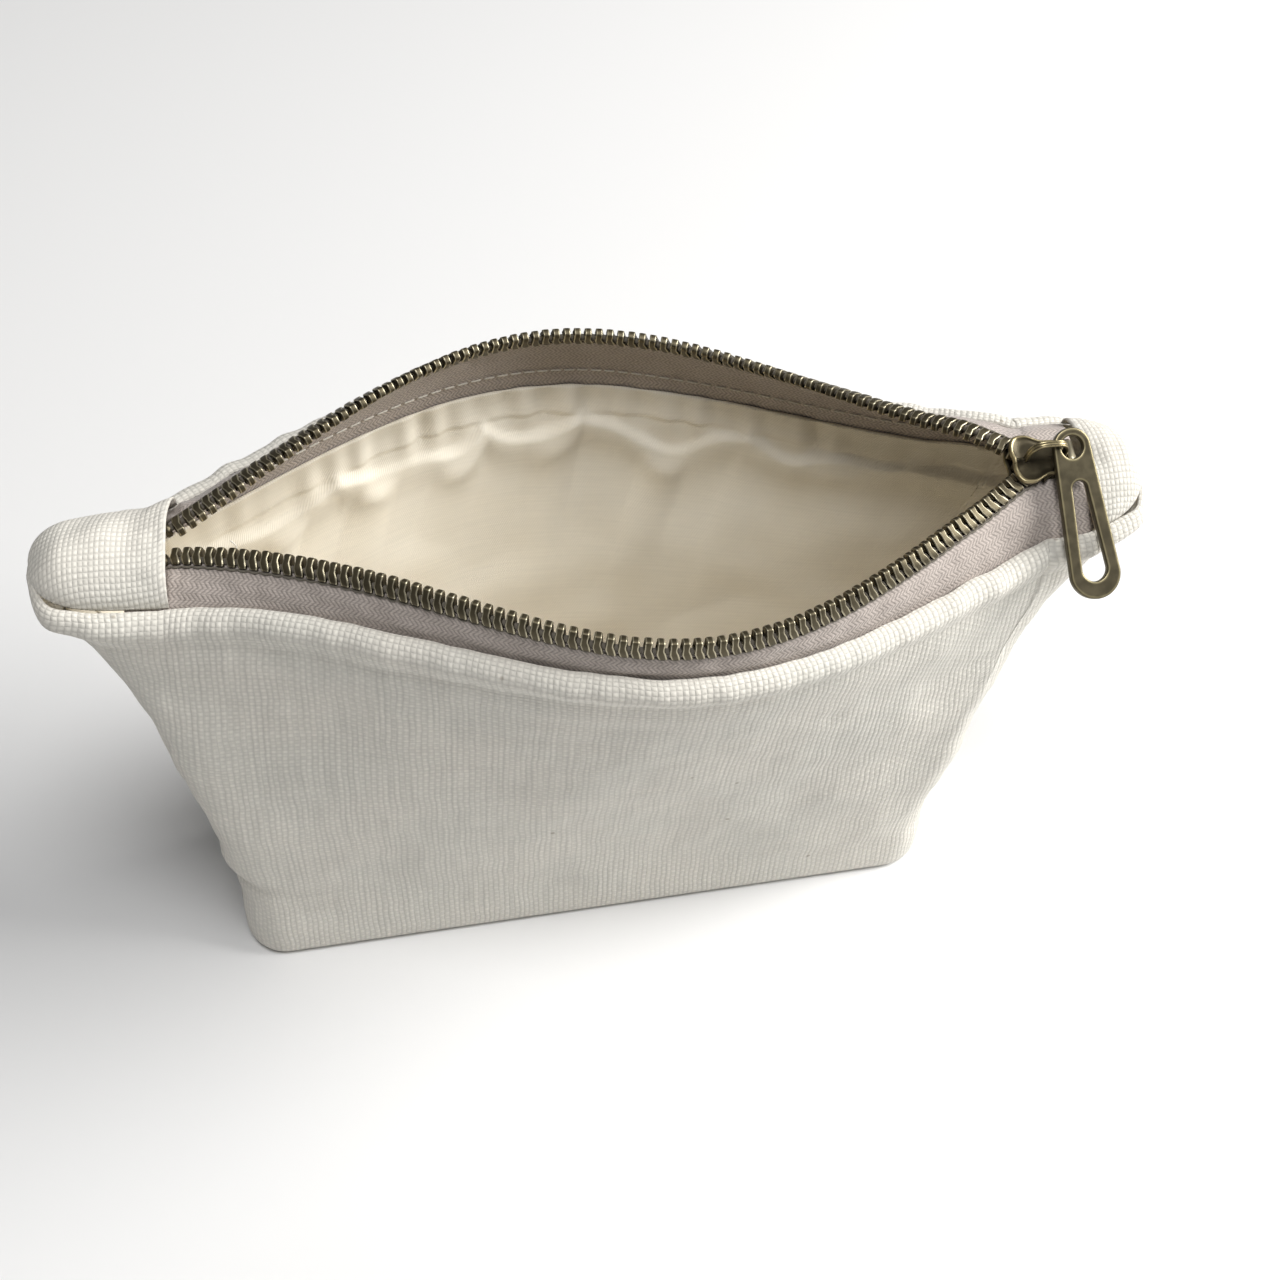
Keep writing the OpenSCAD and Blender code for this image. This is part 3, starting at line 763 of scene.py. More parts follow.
def canvas_panel(side, name, node):
    """An outer panel with its rolled hem, down the wall and in under the base."""
    points, inward, down, along, foot, edge = panel_grid(side, 0)
    face = points - inward * canvas_relief(side, along, down, edge, foot)[..., None]
    # Nothing goes below the floor that the pouch stands on
    face[face[..., 2] < 0, 2] = 0
    # The hem rolls over the top: the first rows start a roll's radius below the fold
    start = int(np.argmax(down.mean(axis=1) > HEM_ROLL_R))
    face, inward, down, along = face[start:], inward[start:], down[start:], along[start:]
    tangent = unit(face[0] - face[1])
    middle = face[0] + inward[0] * HEM_ROLL_R
    turn = half_turn()
    crown = middle - HEM_ROLL_R * (inward[0] * np.cos(turn) - tangent * np.sin(turn))
    thick = lerp(2 * HEM_ROLL_R, CANVAS_T, ease((down - HEM_L) / 1.5))
    rear = face + inward * thick[..., None]
    mesh_points, faces = closed_sheet(face, crown, rear)
    uv = np.stack([along, down], -1)
    across_roll = np.stack([along, -down - 2 * HEM_ROLL_R], -1)
    return piece(name, mesh_points, faces, CANVAS, [node],
                 uv=sheet_uv(uv, ROLL_ROWS, across_roll))


# ---- The lining ----

def lining_depths(side, u, d, foot):
    """Depth of the lining's outer face, and how far its inner face stands in from that."""
    seed = 41 if side == FRONT else 57
    plain = lerp(LINING_TOP_DEPTH, LINING_DEPTH, ease((d - 2) / 8))
    middle = bell(u, 0, 85)
    band = 0.5 * (1 - ease((d - 6.5) / 1.2))
    tucks = (0.6 + cloth_noise(u, d * 0.12, 7, seed)) * 0.5 * middle * bell(d, 5, 6)
    sag = np.abs(np.sin(math.pi * (u + 22 + 3 * cloth_noise(u, 0, 40, seed + 1)) / 36)) ** 0.9
    ridge_d = 8.5 + 6.5 * sag * middle * (1 + 0.4 * cloth_noise(u, 0, 30, seed + 6))
    below = d - ridge_d
    ridge = np.where(below < 0, bell(below, 0, 1.7), bell(below, 0, 6.5))
    height = 2.0 + 0.5 * cloth_noise(u, 0, 26, seed + 2) * middle
    drag = np.maximum(0, cloth_noise(u + below * 0.35, below * 0.16, 24, seed + 3))
    drag = drag * 2.2 * middle * ease(below / 6) * np.exp(-np.maximum(0, below) / 24)
    slack = 0.8 + 0.55 * cloth_noise(u, d, 58, seed + 4) + 0.18 * cloth_noise(u, d, 22, seed + 5)
    slack = np.maximum(0, slack) * ease((below - 6) / 22) * ease((foot - d) / 18)
    return plain, LINING_T + band + tucks + ridge * height + drag + slack


def lining_panel(side, name, node):
    """A lining panel, hung from its folded top edge with gathers below it."""
    points, inward, down, along, foot, edge = panel_grid(side, LINING_TOP_V)
    depth, stand = lining_depths(side, along, down, foot)
    stand = LINING_T + (stand - LINING_T) * ease(edge / 9)
    face = points + inward * (depth + np.maximum(0, stand - LINING_T - 0.6) * 0.9)[..., None]
    rear = points + inward * (depth + stand)[..., None]
    middle = (depth[0] + stand[0] / 2)[:, None]
    radius = stand[0][:, None] / 2
    up = unit(points[0] - points[1])
    turn = half_turn()
    crown = points[0] + inward[0] * (middle - radius * np.cos(turn)) + up * radius * np.sin(turn)
    mesh_points, faces = closed_sheet(face, crown, rear)
    uv = np.stack([along, down], -1)
    return piece(name, mesh_points, faces, LINING, [node], uv=sheet_uv(uv, ROLL_ROWS, uv))


# ---- The zip tapes, their cords and edging ----

def tape_points(side, x, q, depth):
    """A point of the tape, q running from the teeth (0) to the fold (1) and on below it (to 2)."""
    s = outline_share(x)
    d = away(side, x, tooth_lean(side, x))
    lift = unit(np.cross(row_slope(side, x), d)) * side * (TAPE_DEPTH + TAPE_T / 2 - depth)
    start = row(side, x) + lift
    bend = row(side, x) + d * TAPE_REVEAL * 0.55 + lift
    if q <= 1:
        end = under(side, s, np.zeros_like(s), depth)
        w = lerp(0.13, 1, q)
        return start * (1 - w) ** 2 + bend * 2 * w * (1 - w) + end * w * w
    return under(side, s, np.full_like(s, (q - 1) * BELOW_FOLD_V), depth)


def tape(side, name, node):
    """A zip tape, from the tooth row down to the fold and on between canvas and lining."""
    x = np.linspace(MOUTH_LEFT_X - 5, MOUTH_RIGHT_X + 10, TAPE_COLUMNS + 1)
    steps = np.concatenate([np.linspace(0, 1, TAPE_ROWS), [1.3, 1.6, 2.0]])
    near = np.stack([tape_points(side, x, q, TAPE_DEPTH) for q in steps])
    far = np.stack([tape_points(side, x, q, TAPE_DEPTH + TAPE_T) for q in steps])
    down, along = lengths(near)
    free = np.sin(math.pi * np.clip(steps, 0, 1))[:, None]
    wave = 0.13 * cloth_noise(along, down, 11, 71 + side)
    wave += 0.07 * cloth_noise(along, down, 5, 81 + side)
    creases = 0.28 * cloth_noise(along, down * 0.35, 4, 91 + side) * ease((MOUTH_LEFT_X + 14 - x) / 12)
    offset = unit(far - near) * ((wave + creases) * free)[..., None]
    mesh_points, faces = closed_sheet(near + offset, np.zeros((0,) + near.shape[1:]), far + offset)
    uv = np.stack([along, down], -1)
    return piece(name, mesh_points, faces, TAPE, [node], uv=sheet_uv(uv, 0, uv))


def tape_cord(side, name, node):
    """The cord that the teeth clamp, and the looped edging where the tape leaves them."""
    count = 500
    x = np.linspace(FIRST_TOOTH_X - 3, LAST_TOOTH_X + 1, count)
    n, b, t = row_axes(side, x)
    middle = row(side, x)
    run = np.concatenate([[0], np.cumsum(np.linalg.norm(np.diff(middle, axis=0), axis=1))])
    parts = [tube(middle - n * CORD_SET, n, b, np.full(count, CORD_R * 0.95))]
    for face in (-1, 1):
        loops = np.abs(np.sin(math.pi * run / TOOTH_PITCH))
        line = middle - n * (LEG_REACH + 0.18 + 0.22 * loops)[:, None] + b * face * 0.34
        parts.append(tube(line, n, b, 0.20 + 0.12 * loops, 8))
    points, faces = join(parts)
    return piece(name, points, faces, EDGING, [node])


# ---- The teeth ----

def tooth_places(side, x):
    """X of each tooth, a pitch apart along the curved row."""
    places = []
    while x <= LAST_TOOTH_X:
        places.append(x)
        x += TOOTH_PITCH / np.linalg.norm(row_slope(side, np.array(x)))
    return np.array(places)


def tooth_outline():
    """A tooth seen along its row: a head and, behind it, two legs clamped over the cord."""
    head_w = TOOTH_DEPTH * 0.42
    slot = CORD_R + 0.06
    half = [(HEAD_REACH, 0.0), (HEAD_REACH - 0.04, head_w * 0.55), (HEAD_REACH - 0.22, head_w * 0.86),
            (HEAD_REACH - 0.55, head_w), (0.75, TOOTH_DEPTH / 2 - 0.14), (0.25, TOOTH_DEPTH / 2 - 0.06),
            (-0.5, TOOTH_DEPTH / 2), (0.45 - LEG_REACH, TOOTH_DEPTH / 2 - 0.02),
            (0.12 - LEG_REACH, TOOTH_DEPTH / 2 - 0.17), (-LEG_REACH, slot + 0.04),
            (0.1 - LEG_REACH, slot - 0.04), (-0.6, slot), (0.02, slot * 0.72), (0.18, 0.0)]
    return half + [(n, -b) for n, b in half[-2:0:-1]]


def drawn_in(outline, inset):
    """The closed outline with each corner moved inwards."""
    before = unit(outline - np.roll(outline, 1, axis=0))
    after = unit(np.roll(outline, -1, axis=0) - outline)
    normal = unit(before + after)[:, ::-1] * np.array([-1, 1])
    area = np.sum(outline[:, 0] * np.roll(outline[:, 1], -1) - np.roll(outline[:, 0], -1) * outline[:, 1])
    return outline + normal * inset * np.sign(area)


def tooth_mesh():
    """One tooth: points as (across, square to the tape, along), faces, and wear along its edges."""
    outline = np.array(tooth_outline())
    half = TOOTH_T / 2
    # From one end to the middle: distance from the middle, inset, and how worn
    side = [(half, 0.17, 0.1), (half - 0.03, 0.08, 0.8), (half - 0.12, 0.0, 1.0),
            (half - 0.26, 0.0, 0.35), (0.12, -0.02, 0.0)]
    rings = [(-z, inset, worn) for z, inset, worn in side] + side[::-1]
    count = len(outline)
    slices = [np.column_stack([drawn_in(outline, inset), np.full(count, z)]) for z, inset, _ in rings]
    points = np.concatenate(slices)
    faces = closed_rings(points, len(rings), count)
    wear = np.repeat([worn for _, _, worn in rings], count)
    n, b = points[:, 0], points[:, 1]
    leg = ease((0.5 - n) / 0.5)
    oval = np.sqrt(np.clip(1 - ((n + 0.9) / 1.6) ** 2, 0.2, 1))
    head = 1.34 - 0.2 * bell(n, 0.75, 0.3) - 0.16 * ease((n - 1.7) / 0.6)
    points[:, 2] *= lerp(head, 1.72 * oval, leg)
    points[:, 2] += LEG_SLANT * ease((0.4 - n) / 2.6)
    return points, faces, wear


def teeth(side, name, node):
    """A row of teeth, each a little out of place, as real ones are."""
    start = FIRST_TOOTH_X if side == FRONT else FIRST_TOOTH_X + TOOTH_PITCH / 3
    x = tooth_places(side, start)
    n, b, t = row_axes(side, x)
    shape, faces, wear = tooth_mesh()
    random = np.random.default_rng(5 + side)
    slip = random.normal(0, 0.035, (len(x), 3))
    local = shape[None] + slip[:, None]
    placed = local[..., :1] * n[:, None] + local[..., 1:2] * b[:, None] + local[..., 2:] * t[:, None]
    points = row(side, x)[:, None] + placed
    all_faces = [[i + k * len(shape) for i in face] for k in range(len(x)) for face in faces]
    each = np.clip(wear[None] * random.uniform(0.75, 1.1, (len(x), 1)), 0, 1)
    obj = piece(name, points.reshape(-1, 3), all_faces, TEETH_BRASS, [node], wear=each.ravel())
    obj.data.set_sharp_from_angle(angle=math.radians(50))
    return obj


def clamp(length, width, depth, inset):
    """A small block of metal with eased edges, as a stop looks from outside: points and faces."""
    mesh = bmesh.new()
    bmesh.ops.create_cube(mesh, size=1)
    bmesh.ops.scale(mesh, vec=(width, depth, length), verts=mesh.verts)
    bmesh.ops.bevel(mesh, geom=list(mesh.edges), offset=inset, segments=3, affect="EDGES")
    mesh.verts.index_update()
    points = np.array([v.co for v in mesh.verts])
    faces = [[v.index for v in f.verts] for f in mesh.faces]
    mesh.free()
    return points, faces


def stop_wear(points):
    """Worn where two of a point's three coordinates are near the block's faces: its edges."""
    reach = np.abs(points) / np.abs(points).max(axis=0)
    return ease((np.sort(reach, axis=1)[:, 1] - 0.8) / 0.15)


def top_stop(side, name, node):
    """The block that ends a tooth row, under the left tab."""
    x = np.array([FIRST_TOOTH_X - (2 if side == FRONT else 1.2)])
    n, b, t = row_axes(side, x)
    shape, faces = clamp(1.5, 2.6, TOOTH_DEPTH, 0.25)
    wear = stop_wear(shape)
    shape = shape + np.array([-0.7, 0, 0])
    points = row(side, x) + shape[:, :1] * n + shape[:, 1:2] * b + shape[:, 2:] * t
    return piece(name, points, faces, TEETH_BRASS, [node], wear=wear)


def slider_place(points):
    """From the slider's own frame to the row's."""
    turn = np.array(Matrix.Rotation(SLIDER_TILT, 3, "X"))
    return np.asarray(points) @ turn.T + np.array([SLIDER_X, SLIDER_Y, ZIP_RIGHT_Z])


def bottom_stop():
    """The block across both tapes behind the slider."""
    shape, faces = clamp(2.6, 2.2, 9.8, 0.4)
    wear = stop_wear(shape)
    points = slider_place(shape + np.array([SLIDER_L / 2 + 0.8 + 1.1, 0, 0]))
    return piece("bottom_stop_brass", points, faces, TEETH_BRASS, ["bottom_stop"], wear=wear)


# ---- The tabs over the zip's ends ----

def end_tab(name, node, edge_s, end_s, crown_h):
    """A folded strip of canvas over the end of the zip, tucked behind both folds."""
    rows, steps = 44, 70
    turn_s = 0.011 if edge_s < 0.5 else 0
    share = np.linspace(0, 1, rows + 1)
    tuck = lerp(TAPE_DEPTH - 0.45, HEM_ROLL_R, share)[:, None]
    front = under(FRONT, lerp(edge_s - turn_s, end_s, share), 0.004, tuck)
    back = under(BACK, lerp(edge_s + turn_s, end_s, share), 0.004, tuck)
    q = np.linspace(0, 1, steps + 1)
    span = np.clip((back - front)[:, 1] / 22, 0, 1) ** 0.7
    arch = crown_h * span[:, None] * np.sin(math.pi * q) ** 0.55
    low = lerp(front[:, None], back[:, None], q[None, :, None])
    low[..., 2] += TAB_RISE * np.sin(math.pi * q) ** 0.3 + arch * (1 - share[:, None] ** 4)
    down, along = lengths(low)
    seed = 301 if edge_s < 0.5 else 317
    low[..., 2] += 0.25 * cloth_noise(along, down, 14, seed) * np.sin(math.pi * q)
    edge_soft = 0.45 * bell(down, 3.5, 3.0)
    edge_soft += 0.12 * cloth_noise(along, down, 6, seed + 1) * bell(down, 2, 5)
    thick = (TAB_T + edge_soft) * lerp(0.3, 1, np.sin(math.pi * q) ** 0.3)
    high = low + np.array([0, 0, 1]) * thick[..., None]
    out = unit(low[0] - low[3])
    turn = half_turn()
    middle, radius = (low[0] + high[0]) / 2, (high[0] - low[0]) / 2
    crown = middle + radius * np.cos(turn) + out * TAB_T / 2 * np.sin(turn)
    points, faces = closed_sheet(high, crown, low)
    uv = np.stack([along, down], -1)
    return piece(name, points, faces, CANVAS, [node], uv=sheet_uv(uv, ROLL_ROWS, uv))


# ---- The slider ----

def plate_half_w(x):
    """Half the width of the slider's plates: lobes at the nose, narrowing to a round tail."""
    q = (x + SLIDER_L / 2) / SLIDER_L
    return lerp(6, 4.2, ease((q - 0.28) / 0.4)) * np.sqrt(np.clip(1 - np.abs(2 * q - 1) ** 7, 0, 1))


def plate_ring():
    """Outline of a plate, anticlockwise, with a notch between the nose's two lobes."""
    count = 60
    x = -SLIDER_L / 2 * np.cos(math.pi * np.arange(count + 1) / count)
    w = np.maximum(0.6, plate_half_w(x))
    lower = np.stack([x, -w], -1)
    upper = np.stack([x[::-1], w[::-1]], -1)
    ring = np.concatenate([lower, upper])
    notch = 0.5 * bell(ring[:, 1], 0, 1.6) * (ring[:, 0] < 0)
    ring[:, 0] += notch
    return ring


def dished_plate(outer_z, inner_z, dish):
    """A plate with a raised rim round a shallow dish on its outer face."""
    ring = plate_ring()
    middle = np.array([0.4, 0.0])
    up = 1 if outer_z > inner_z else -1
    profile = [(0.0, inner_z, 0.0), (0.90, inner_z, 0.0), (0.975, inner_z, 0.3),
               (1.0, inner_z + up * 0.2, 0.6), (1.0, outer_z - up * 0.25, 0.9),
               (0.985, outer_z - up * 0.06, 1.0), (0.955, outer_z, 1.0),
               (0.92, outer_z - up * 0.04, 1.0), (0.885, outer_z - up * 0.16, 0.55),
               (0.83, outer_z - up * dish, 0.08), (0.6, outer_z - up * (dish + 0.08), 0.0),
               (0.3, outer_z - up * dish, 0.1), (0.0, outer_z - up * dish, 0.1)]
    count = len(ring)
    points, wear = [], []
    for share, z, worn in profile:
        flat = middle + (ring - middle) * max(share, 0.001)
        points.append(np.column_stack([flat, np.full(count, z)]))
        wear += [worn] * count
    points = np.concatenate(points)
    return points, closed_rings(points, len(profile), count), wear


def flange(m, plate):
    """Side wall of a plate, which keeps the teeth in."""
    x = np.linspace(0.2, 5.7, 14)
    y = m * lerp(5.2, 3.75, ease((x - 0.2) / 2.2))
    z0, z1 = sorted((plate * 0.7, plate * (CHANNEL_H + 0.2)))
    centre = np.column_stack([x, y, np.full_like(x, (z0 + z1) / 2)])
    half_t, half_h = 0.38, (z1 - z0) / 2
    corner = [(-1, -0.8), (-0.7, -1), (0.7, -1), (1, -0.8), (1, 0.8), (0.7, 1), (-0.7, 1), (-1, 0.8)]
    rings = [centre + np.array([0, a * half_t, b * half_h]) for a, b in corner]
    points = np.stack(rings, 1).reshape(-1, 3)
    return points, closed_rings(points, len(x), len(corner)), [0.35] * len(points)


def wedge():
    """The post between the plates at the nose, which parts the two rows."""
    z = np.linspace(-CHANNEL_H - 0.3, CHANNEL_H + 0.3, 7)
    centre = np.column_stack([np.full_like(z, -4.4), np.zeros_like(z), z])
    across, up = np.tile([1.0, 0, 0], (7, 1)), np.tile([0, 1.0, 0], (7, 1))
    points, faces = tube(centre, across, up, np.full(7, 0.95), 20)
    return points, faces, [0.3] * len(points)


def slider_body():
    """Two plates with the wedge between them and walls along their sides."""
    parts = [dished_plate(PLATE_TOP, CHANNEL_H, 0.42), dished_plate(-PLATE_TOP, -CHANNEL_H, 0.12), wedge()]
    parts += [flange(m, plate) for m in (-1, 1) for plate in (-1, 1)]
    points, faces = join([(p, f) for p, f, _ in parts])
    wear = np.concatenate([w for _, _, w in parts])
    obj = piece("slider_body_brass", slider_place(points), faces, SLIDER_BRASS, ["slider_body"],
                body="slider", wear=wear)
    obj.data.set_sharp_from_angle(angle=math.radians(60))
    return obj


def slider_bridge():
    """The arched band along the slider, with two grooves in its back."""
    count = 56
    middle, half_in, band = 1.4, 3.68, 0.98
    a = math.pi * np.arange(count + 1) / count
    c, s = np.cos(a), np.sin(a)

    def arch(half, height, square):
        """Points over an arch, the squarer the smaller its power is."""
        return np.column_stack([middle - half * np.sign(c) * np.abs(c) ** square, height * s ** square])

    inner = arch(half_in, BRIDGE_H, 0.5)
    outer = arch(half_in + band, BRIDGE_H + band * 0.8, 0.62)
    # Half of the band's section: across, out from its inner face, and how worn
    flank = [(0.24, 0.97, 0.9), (0.42, 0.8, 0.15), (0.6, 0.97, 1.0), (0.86, 0.93, 1.0), (0.97, 0.72, 0.7),
             (0.95, 0.2, 0.5), (0.75, 0.07, 0.1)]
    mirrored = [(-across, out, worn) for across, out, worn in flank]
    section = [*mirrored[-2::-1], (0.0, 0.98, 0.75), *flank, mirrored[-1]]
    half_w = 0.82 * BRIDGE_W / 2
    sunk = 0.35
    rings = []
    for across, out, _ in section:
        line = lerp(inner, outer, out)
        y = np.full(count + 1, across * half_w)
        rings.append(np.column_stack([line[:, 0], y, line[:, 1] + PLATE_TOP - sunk]))
    points = np.stack(rings, 1).reshape(-1, 3)
    faces = closed_rings(points, count + 1, len(section))
    wear = np.tile([worn for _, _, worn in section], count + 1)
    return piece("slider_bridge_brass", slider_place(points), faces, SLIDER_BRASS,
                 ["slider_bridge"], body="slider", wear=wear)


# ---- The pull ----

def tapered_pill(r0, r1, length, count=26):
    """Outline round two circles of different radius, the second at -length on Y."""
    a = math.asin((r1 - r0) / length)
    top = np.linspace(-a, math.pi + a, count)
    tip = np.linspace(math.pi + a, 2 * math.pi - a, count)
    first = np.column_stack([r0 * np.cos(top), r0 * np.sin(top)])
    return np.concatenate([first, np.column_stack([r1 * np.cos(tip), r1 * np.sin(tip) - length])])


def pull_loops(inset):
    """The pull's outline and the outlines of its eye and slot, drawn in by an inset."""
    slot_top, slot_l = 9.2, 17.8
    turn = np.linspace(0, 2 * math.pi, 48, endpoint=False)
    eye = (EYE_HOLE_R + inset) * np.column_stack([np.cos(turn), np.sin(turn)])
    slot = tapered_pill(1.7 + inset, 2.9 + inset, slot_l) + np.array([0, -slot_top])
    return [tapered_pill(PULL_EYE_R - inset, PULL_TIP_R - inset, PULL_L), eye, slot]


def pull_tab():
    """The flat pull with rounded edges, its round eye over the bridge and its long slot."""
    mesh = bmesh.new()
    wear_layer = mesh.verts.layers.float.new("wear")
    bevel = 0.34
    half_t = PULL_T / 2
    levels = [(0.0, 0.0, -0.6)]
    for k in range(5):
        a = k * math.pi / 8
        levels.append((bevel * (1 - math.cos(a)), half_t - bevel * (1 - math.sin(a)), -0.6 + 0.4 * k))
    levels.append((bevel + 0.22, half_t, 0.45))
    levels.append((bevel + 0.6, half_t, 0.12))
    for face in (-1, 1):
        borders = []
        for loop_index in range(3):
            last = None
            for inset, z, worn in levels:
                ring = []
                for x, y in pull_loops(inset)[loop_index]:
                    vert = mesh.verts.new((x, y, z * face))
                    vert[wear_layer] = worn
                    ring.append(vert)
                count = len(ring)
                if last:
                    for i in range(count):
                        j = (i + 1) % count
                        mesh.faces.new([last[i], last[j], ring[j], ring[i]])
                last = ring
            borders += [mesh.edges.get([last[i], last[(i + 1) % count]]) for i in range(count)]
        bmesh.ops.triangle_fill(mesh, use_beauty=True, use_dissolve=False, edges=borders)
    bmesh.ops.remove_doubles(mesh, verts=mesh.verts, dist=1e-4)
    bmesh.ops.recalc_face_normals(mesh, faces=mesh.faces)
    mesh.verts.index_update()
    points = np.array([v.co for v in mesh.verts])
    wear = [v[wear_layer] for v in mesh.verts]
    faces = [[v.index for v in f.verts] for f in mesh.faces]
    mesh.free()
    turn = np.array(Matrix.Rotation(PULL_DROOP - SLIDER_TILT, 3, "X") @ Matrix.Rotation(PULL_TURN, 3, "Z"))
    placed = slider_place(points @ turn.T + np.array([EYE_X, 0, EYE_Z]))
    obj = piece("pull_tab_brass", placed, faces, PULL_BRASS, ["pull_tab"], body="pull", wear=wear)
    obj.data.set_sharp_from_angle(angle=math.radians(40))
    return obj


# ---- The seams' threads ----

def stitch_line(points, radius=0.2):
    """One short rounded bar of thread from each point towards the next."""
    parts = []
    for a, b in zip(points[:-1], points[1:]):
        d = unit(b - a)
        across = unit(np.cross(d, [0.31, 0.87, 0.38]))
        q = np.array([0, 0.04, 0.12, 0.66, 0.74, 0.78])
        centres = a + (b - a) * q[:, None]
        sizes = radius * np.array([0.3, 0.8, 1, 1, 0.8, 0.3])
        ways = (np.tile(across, (6, 1)), np.tile(np.cross(d, across), (6, 1)))
        parts.append(tube(centres, *ways, sizes, 8))
    return parts


def stitches(name, node, points, extra=()):
    joined, faces = join(stitch_line(points) + list(extra))
    return piece(name, joined, faces, THREAD, [node])


def seam_points(s, depth, length):
    """Ends of the stitches down a side seam, s being 0 at the left seam and 1 at the right."""
    count = round(length / STITCH_PITCH)
    v = lerp(0.06, 0.96, np.arange(count + 1) / count)
    points = under(BACK, np.full(count + 1, float(s)), v, depth)
    points[:, 1] = 0
    return points


def line_points(start, end):
    """Ends of the stitches along a straight seam."""
    start, end = np.array(start, float), np.array(end, float)
    count = round(np.linalg.norm(end - start) / STITCH_PITCH)
    return lerp(start, end, (np.arange(count + 1) / count)[:, None])


def loose_end():
    """A curl of thread that stands up from the lining at the zip's left end."""
    count, radius = 24, 0.13
    a = np.linspace(0, 1, count)
    base = np.array([MOUTH_LEFT_X + 13.5, 1.5, ZIP_LEFT_Z - 7])
    x = 2.4 * np.sin(a * 2.6)
    z = 6.5 * a - 1.2 * a ** 3
    points = base + np.column_stack([x, 1.6 * a, z])
    along = unit(np.gradient(points, axis=0))
    across = unit(np.cross(along, [0.0, 1.0, 0.2]))
    return tube(points, across, np.cross(along, across), np.full(count, radius), 6)


def all_stitches():
    """The thread of every seam, each as a row of short bars."""
    made = []
    for side, name in ((FRONT, "front"), (BACK, "back")):
        count = round(208 / STITCH_PITCH)
        s = lerp(EAR_LEFT, 1 - EAR_RIGHT, np.arange(count + 1) / count)
        points = under(side, s, np.full(count + 1, 0.05), THREAD_DEPTH + 0.1)
        extra = [loose_end()] if side == BACK else []
        made.append(stitches(f"zip_thread_{name}", f"zip_stitches_{name}", points, extra))
    reach_x, reach_y = BASE_HALF_LENGTH - 12, BASE_HALF_DEPTH - BASE_CORNER_R
    for end, name in ((0, "left"), (1, "right")):
        line = seam_points(end, THREAD_DEPTH, 125)
        made.append(stitches(f"side_thread_{name}", f"side_stitches_{name}", line))
        line = seam_points(end, LINING_THREAD_DEPTH, 118)
        made.append(stitches(f"lining_thread_{name}", f"lining_stitches_{name}", line))
        x = (2 * end - 1) * (BASE_HALF_LENGTH - BASE_EDGE_R - 3)
        line = line_points((x, -reach_y, THREAD_DEPTH), (x, reach_y, THREAD_DEPTH))
        made.append(stitches(f"corner_thread_{name}", f"corner_stitches_{name}", line))
    line = line_points((-reach_x, 0, THREAD_DEPTH), (reach_x, 0, THREAD_DEPTH))
    made.append(stitches("base_thread", "base_stitches", line))
    line = line_points((2 - reach_x, 0, 3.0), (reach_x - 2, 0, 3.0))
    made.append(stitches("lining_base_thread", "lining_base_stitches", line))
    return made


# ---- Camera, light and floor ----

# The camera's place and angle, found from the outline of the rim and the base in the photograph
CAMERA_PLACE = Vector((-45.7, -254.1, 389.6)) * MM
CAMERA_AZIMUTH = math.radians(12.8)
CAMERA_ELEVATION = math.radians(49.7)
CAMERA_ROLL = math.radians(3.9)
CAMERA_LENS = 47.9
LIT_PLACE = Vector((0, 0, 0.08))
WORLD_STRENGTH = 0.08
FLOOR_SIZE = 3.0
FLOOR_GREY = 0.85


def make_camera():
    """The photograph's view: from in front, to the left and above, a little rolled."""
    data = bpy.data.cameras.new("camera")
    data.lens = CAMERA_LENS
    data.clip_start, data.clip_end = 0.01, 20
    camera = bpy.data.objects.new("camera", data)
    scene.collection.objects.link(camera)
    turn = Matrix.Rotation(-CAMERA_AZIMUTH, 4, "Z")
    tilt = Matrix.Rotation(math.pi / 2 - CAMERA_ELEVATION, 4, "X")
    roll = Matrix.Rotation(CAMERA_ROLL, 4, "Z")
    camera.matrix_world = Matrix.Translation(CAMERA_PLACE) @ turn @ tilt @ roll
    scene.camera = camera


def area_light(name, place, size, power, colour):
    """A soft round lamp that points at the pouch."""
    data = bpy.data.lights.new(name, "AREA")
    data.shape = "DISK"
    data.size = size
    data.energy = power
    data.color = colour
    light = bpy.data.objects.new(name, data)
    light.location = place
    light.rotation_euler = (LIT_PLACE - Vector(place)).to_track_quat("-Z", "Y").to_euler()
    scene.collection.objects.link(light)


def make_light():
    """A large lamp at the right, a weaker one above, and dim surroundings."""
    world = bpy.data.worlds.new("studio")
    world.use_nodes = True
    background = world.node_tree.nodes["Background"]
    background.inputs["Color"].default_value = (1.0, 1.0, 1.0, 1)
    background.inputs["Strength"].default_value = WORLD_STRENGTH
    scene.world = world
    area_light("key", place=(1.3, -0.02, 0.95), size=1.0, power=32, colour=(1.0, 0.99, 0.97))
    area_light("top", place=(0.0, -0.38, 1.7), size=0.7, power=14, colour=(1.0, 1.0, 1.0))
    scene.view_settings.view_transform = "Standard"


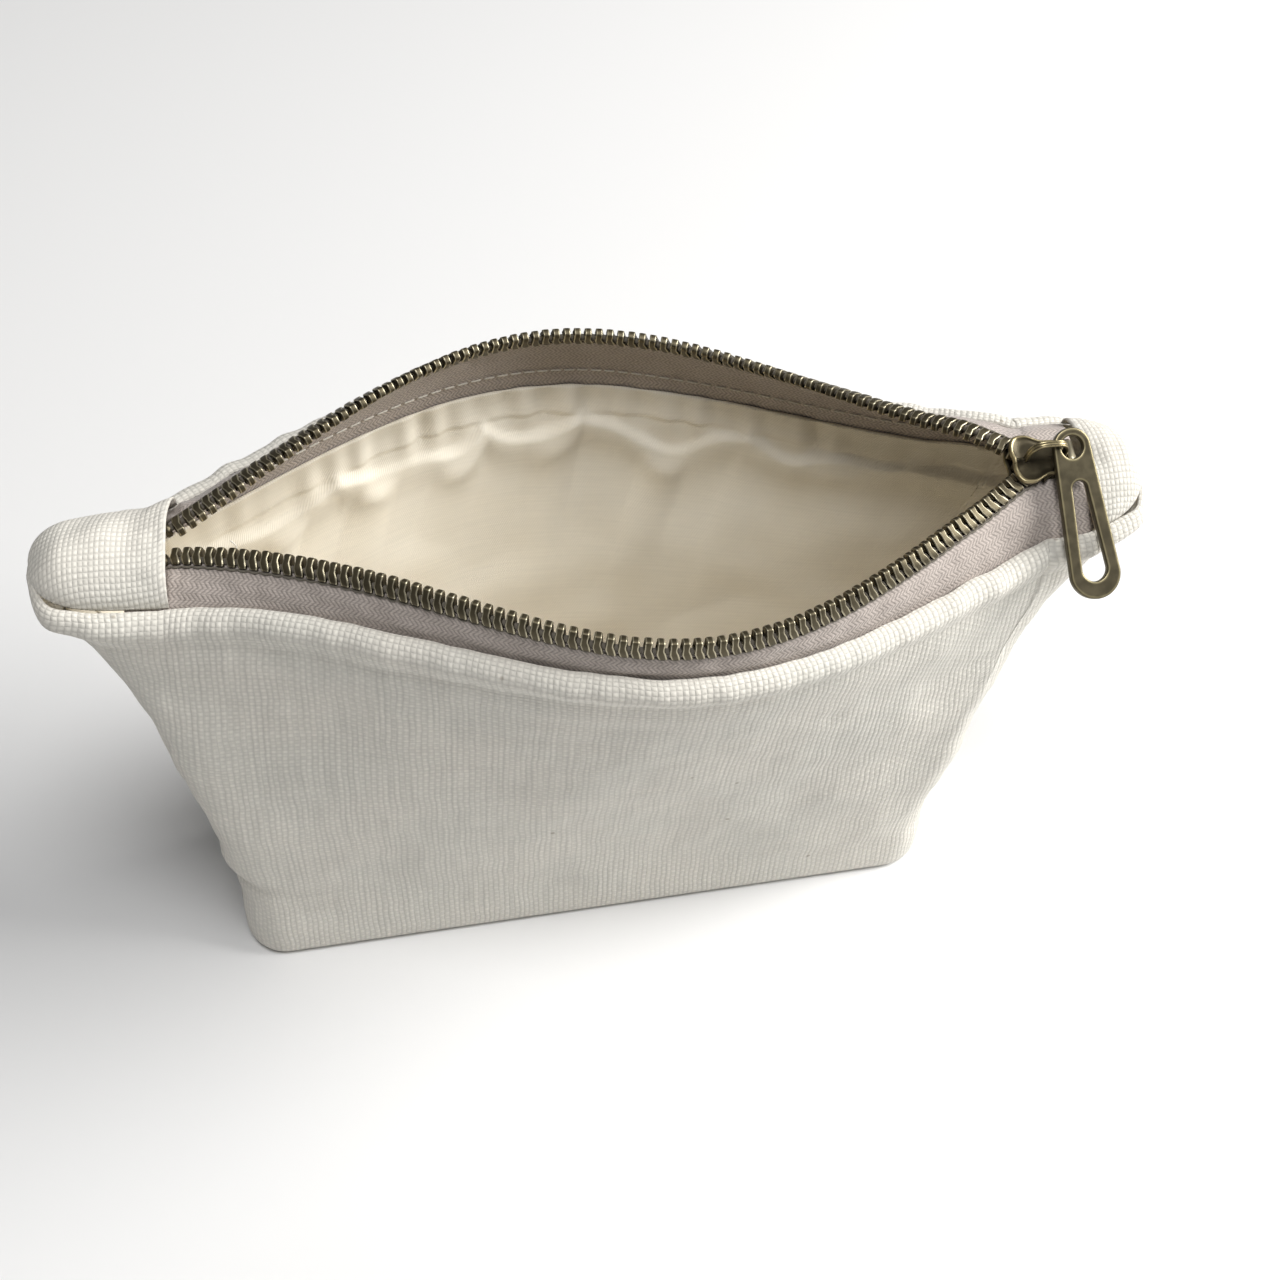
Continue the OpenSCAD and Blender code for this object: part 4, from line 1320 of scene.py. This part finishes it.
def make_floor():
    """A plain sheet of pale paper, not a part of the pouch."""
    size = FLOOR_SIZE
    mesh = bpy.data.meshes.new("floor")
    corners = [(-size, -size, 0), (size, -size, 0), (size, size, 0), (-size, size, 0)]
    mesh.from_pydata(corners, [], [(0, 1, 2, 3)])
    look = Look("floor_paper", roughness=0.9)
    look.shader.inputs["Base Color"].default_value = (FLOOR_GREY, FLOOR_GREY, FLOOR_GREY, 1)
    mesh.materials.append(look.material)
    floor = bpy.data.objects.new("floor", mesh)
    scene.collection.objects.link(floor)


# ---- Putting it together ----

make_camera()
make_light()
make_floor()

cloth = {
    "canvas_front": canvas_panel(FRONT, "canvas_front", "outer_front"),
    "canvas_back": canvas_panel(BACK, "canvas_back", "outer_back"),
    "lining_front": lining_panel(FRONT, "lining_cloth_front", "lining_front"),
    "lining_back": lining_panel(BACK, "lining_cloth_back", "lining_back"),
    "tape_front": tape(FRONT, "tape_front", "zip_tape_front"),
    "tape_back": tape(BACK, "tape_back", "zip_tape_back"),
    "tab_left": end_tab("tab_left", "end_tab_left", edge_s=EAR_LEFT + 0.02, end_s=0.012, crown_h=8),
    "tab_right": end_tab("tab_right", "end_tab_right", edge_s=1 - EAR_RIGHT * 0.755, end_s=0.992,
                         crown_h=5.5),
}
trim = [
    tape_cord(FRONT, "cord_front", "tape_cord_front"),
    tape_cord(BACK, "cord_back", "tape_cord_back"),
    teeth(FRONT, "teeth_brass_front", "teeth_front"),
    teeth(BACK, "teeth_brass_back", "teeth_back"),
    top_stop(FRONT, "top_stop_brass_front", "top_stop_front"),
    top_stop(BACK, "top_stop_brass_back", "top_stop_back"),
    bottom_stop(),
    *all_stitches(),
]
slider_body()
slider_bridge()
pull_tab()

# Flat sizes of the tabs in metres. The panels taper to the base, with a notch at each boxed corner
TAB_FLAT = {"tab_left": (0.034, 0.034), "tab_right": (0.032, 0.0125)}
PANELS = ["canvas_front", "canvas_back"]
TAPES = ["tape_front", "tape_back"]
for name, obj in cloth.items():
    if name in PANELS:
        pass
    elif name in TAPES:
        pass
    elif name in TAB_FLAT:
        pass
    else:
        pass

# Each piece takes a mesh of its own
for obj in [*cloth.values(), *trim]:
    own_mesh(obj)
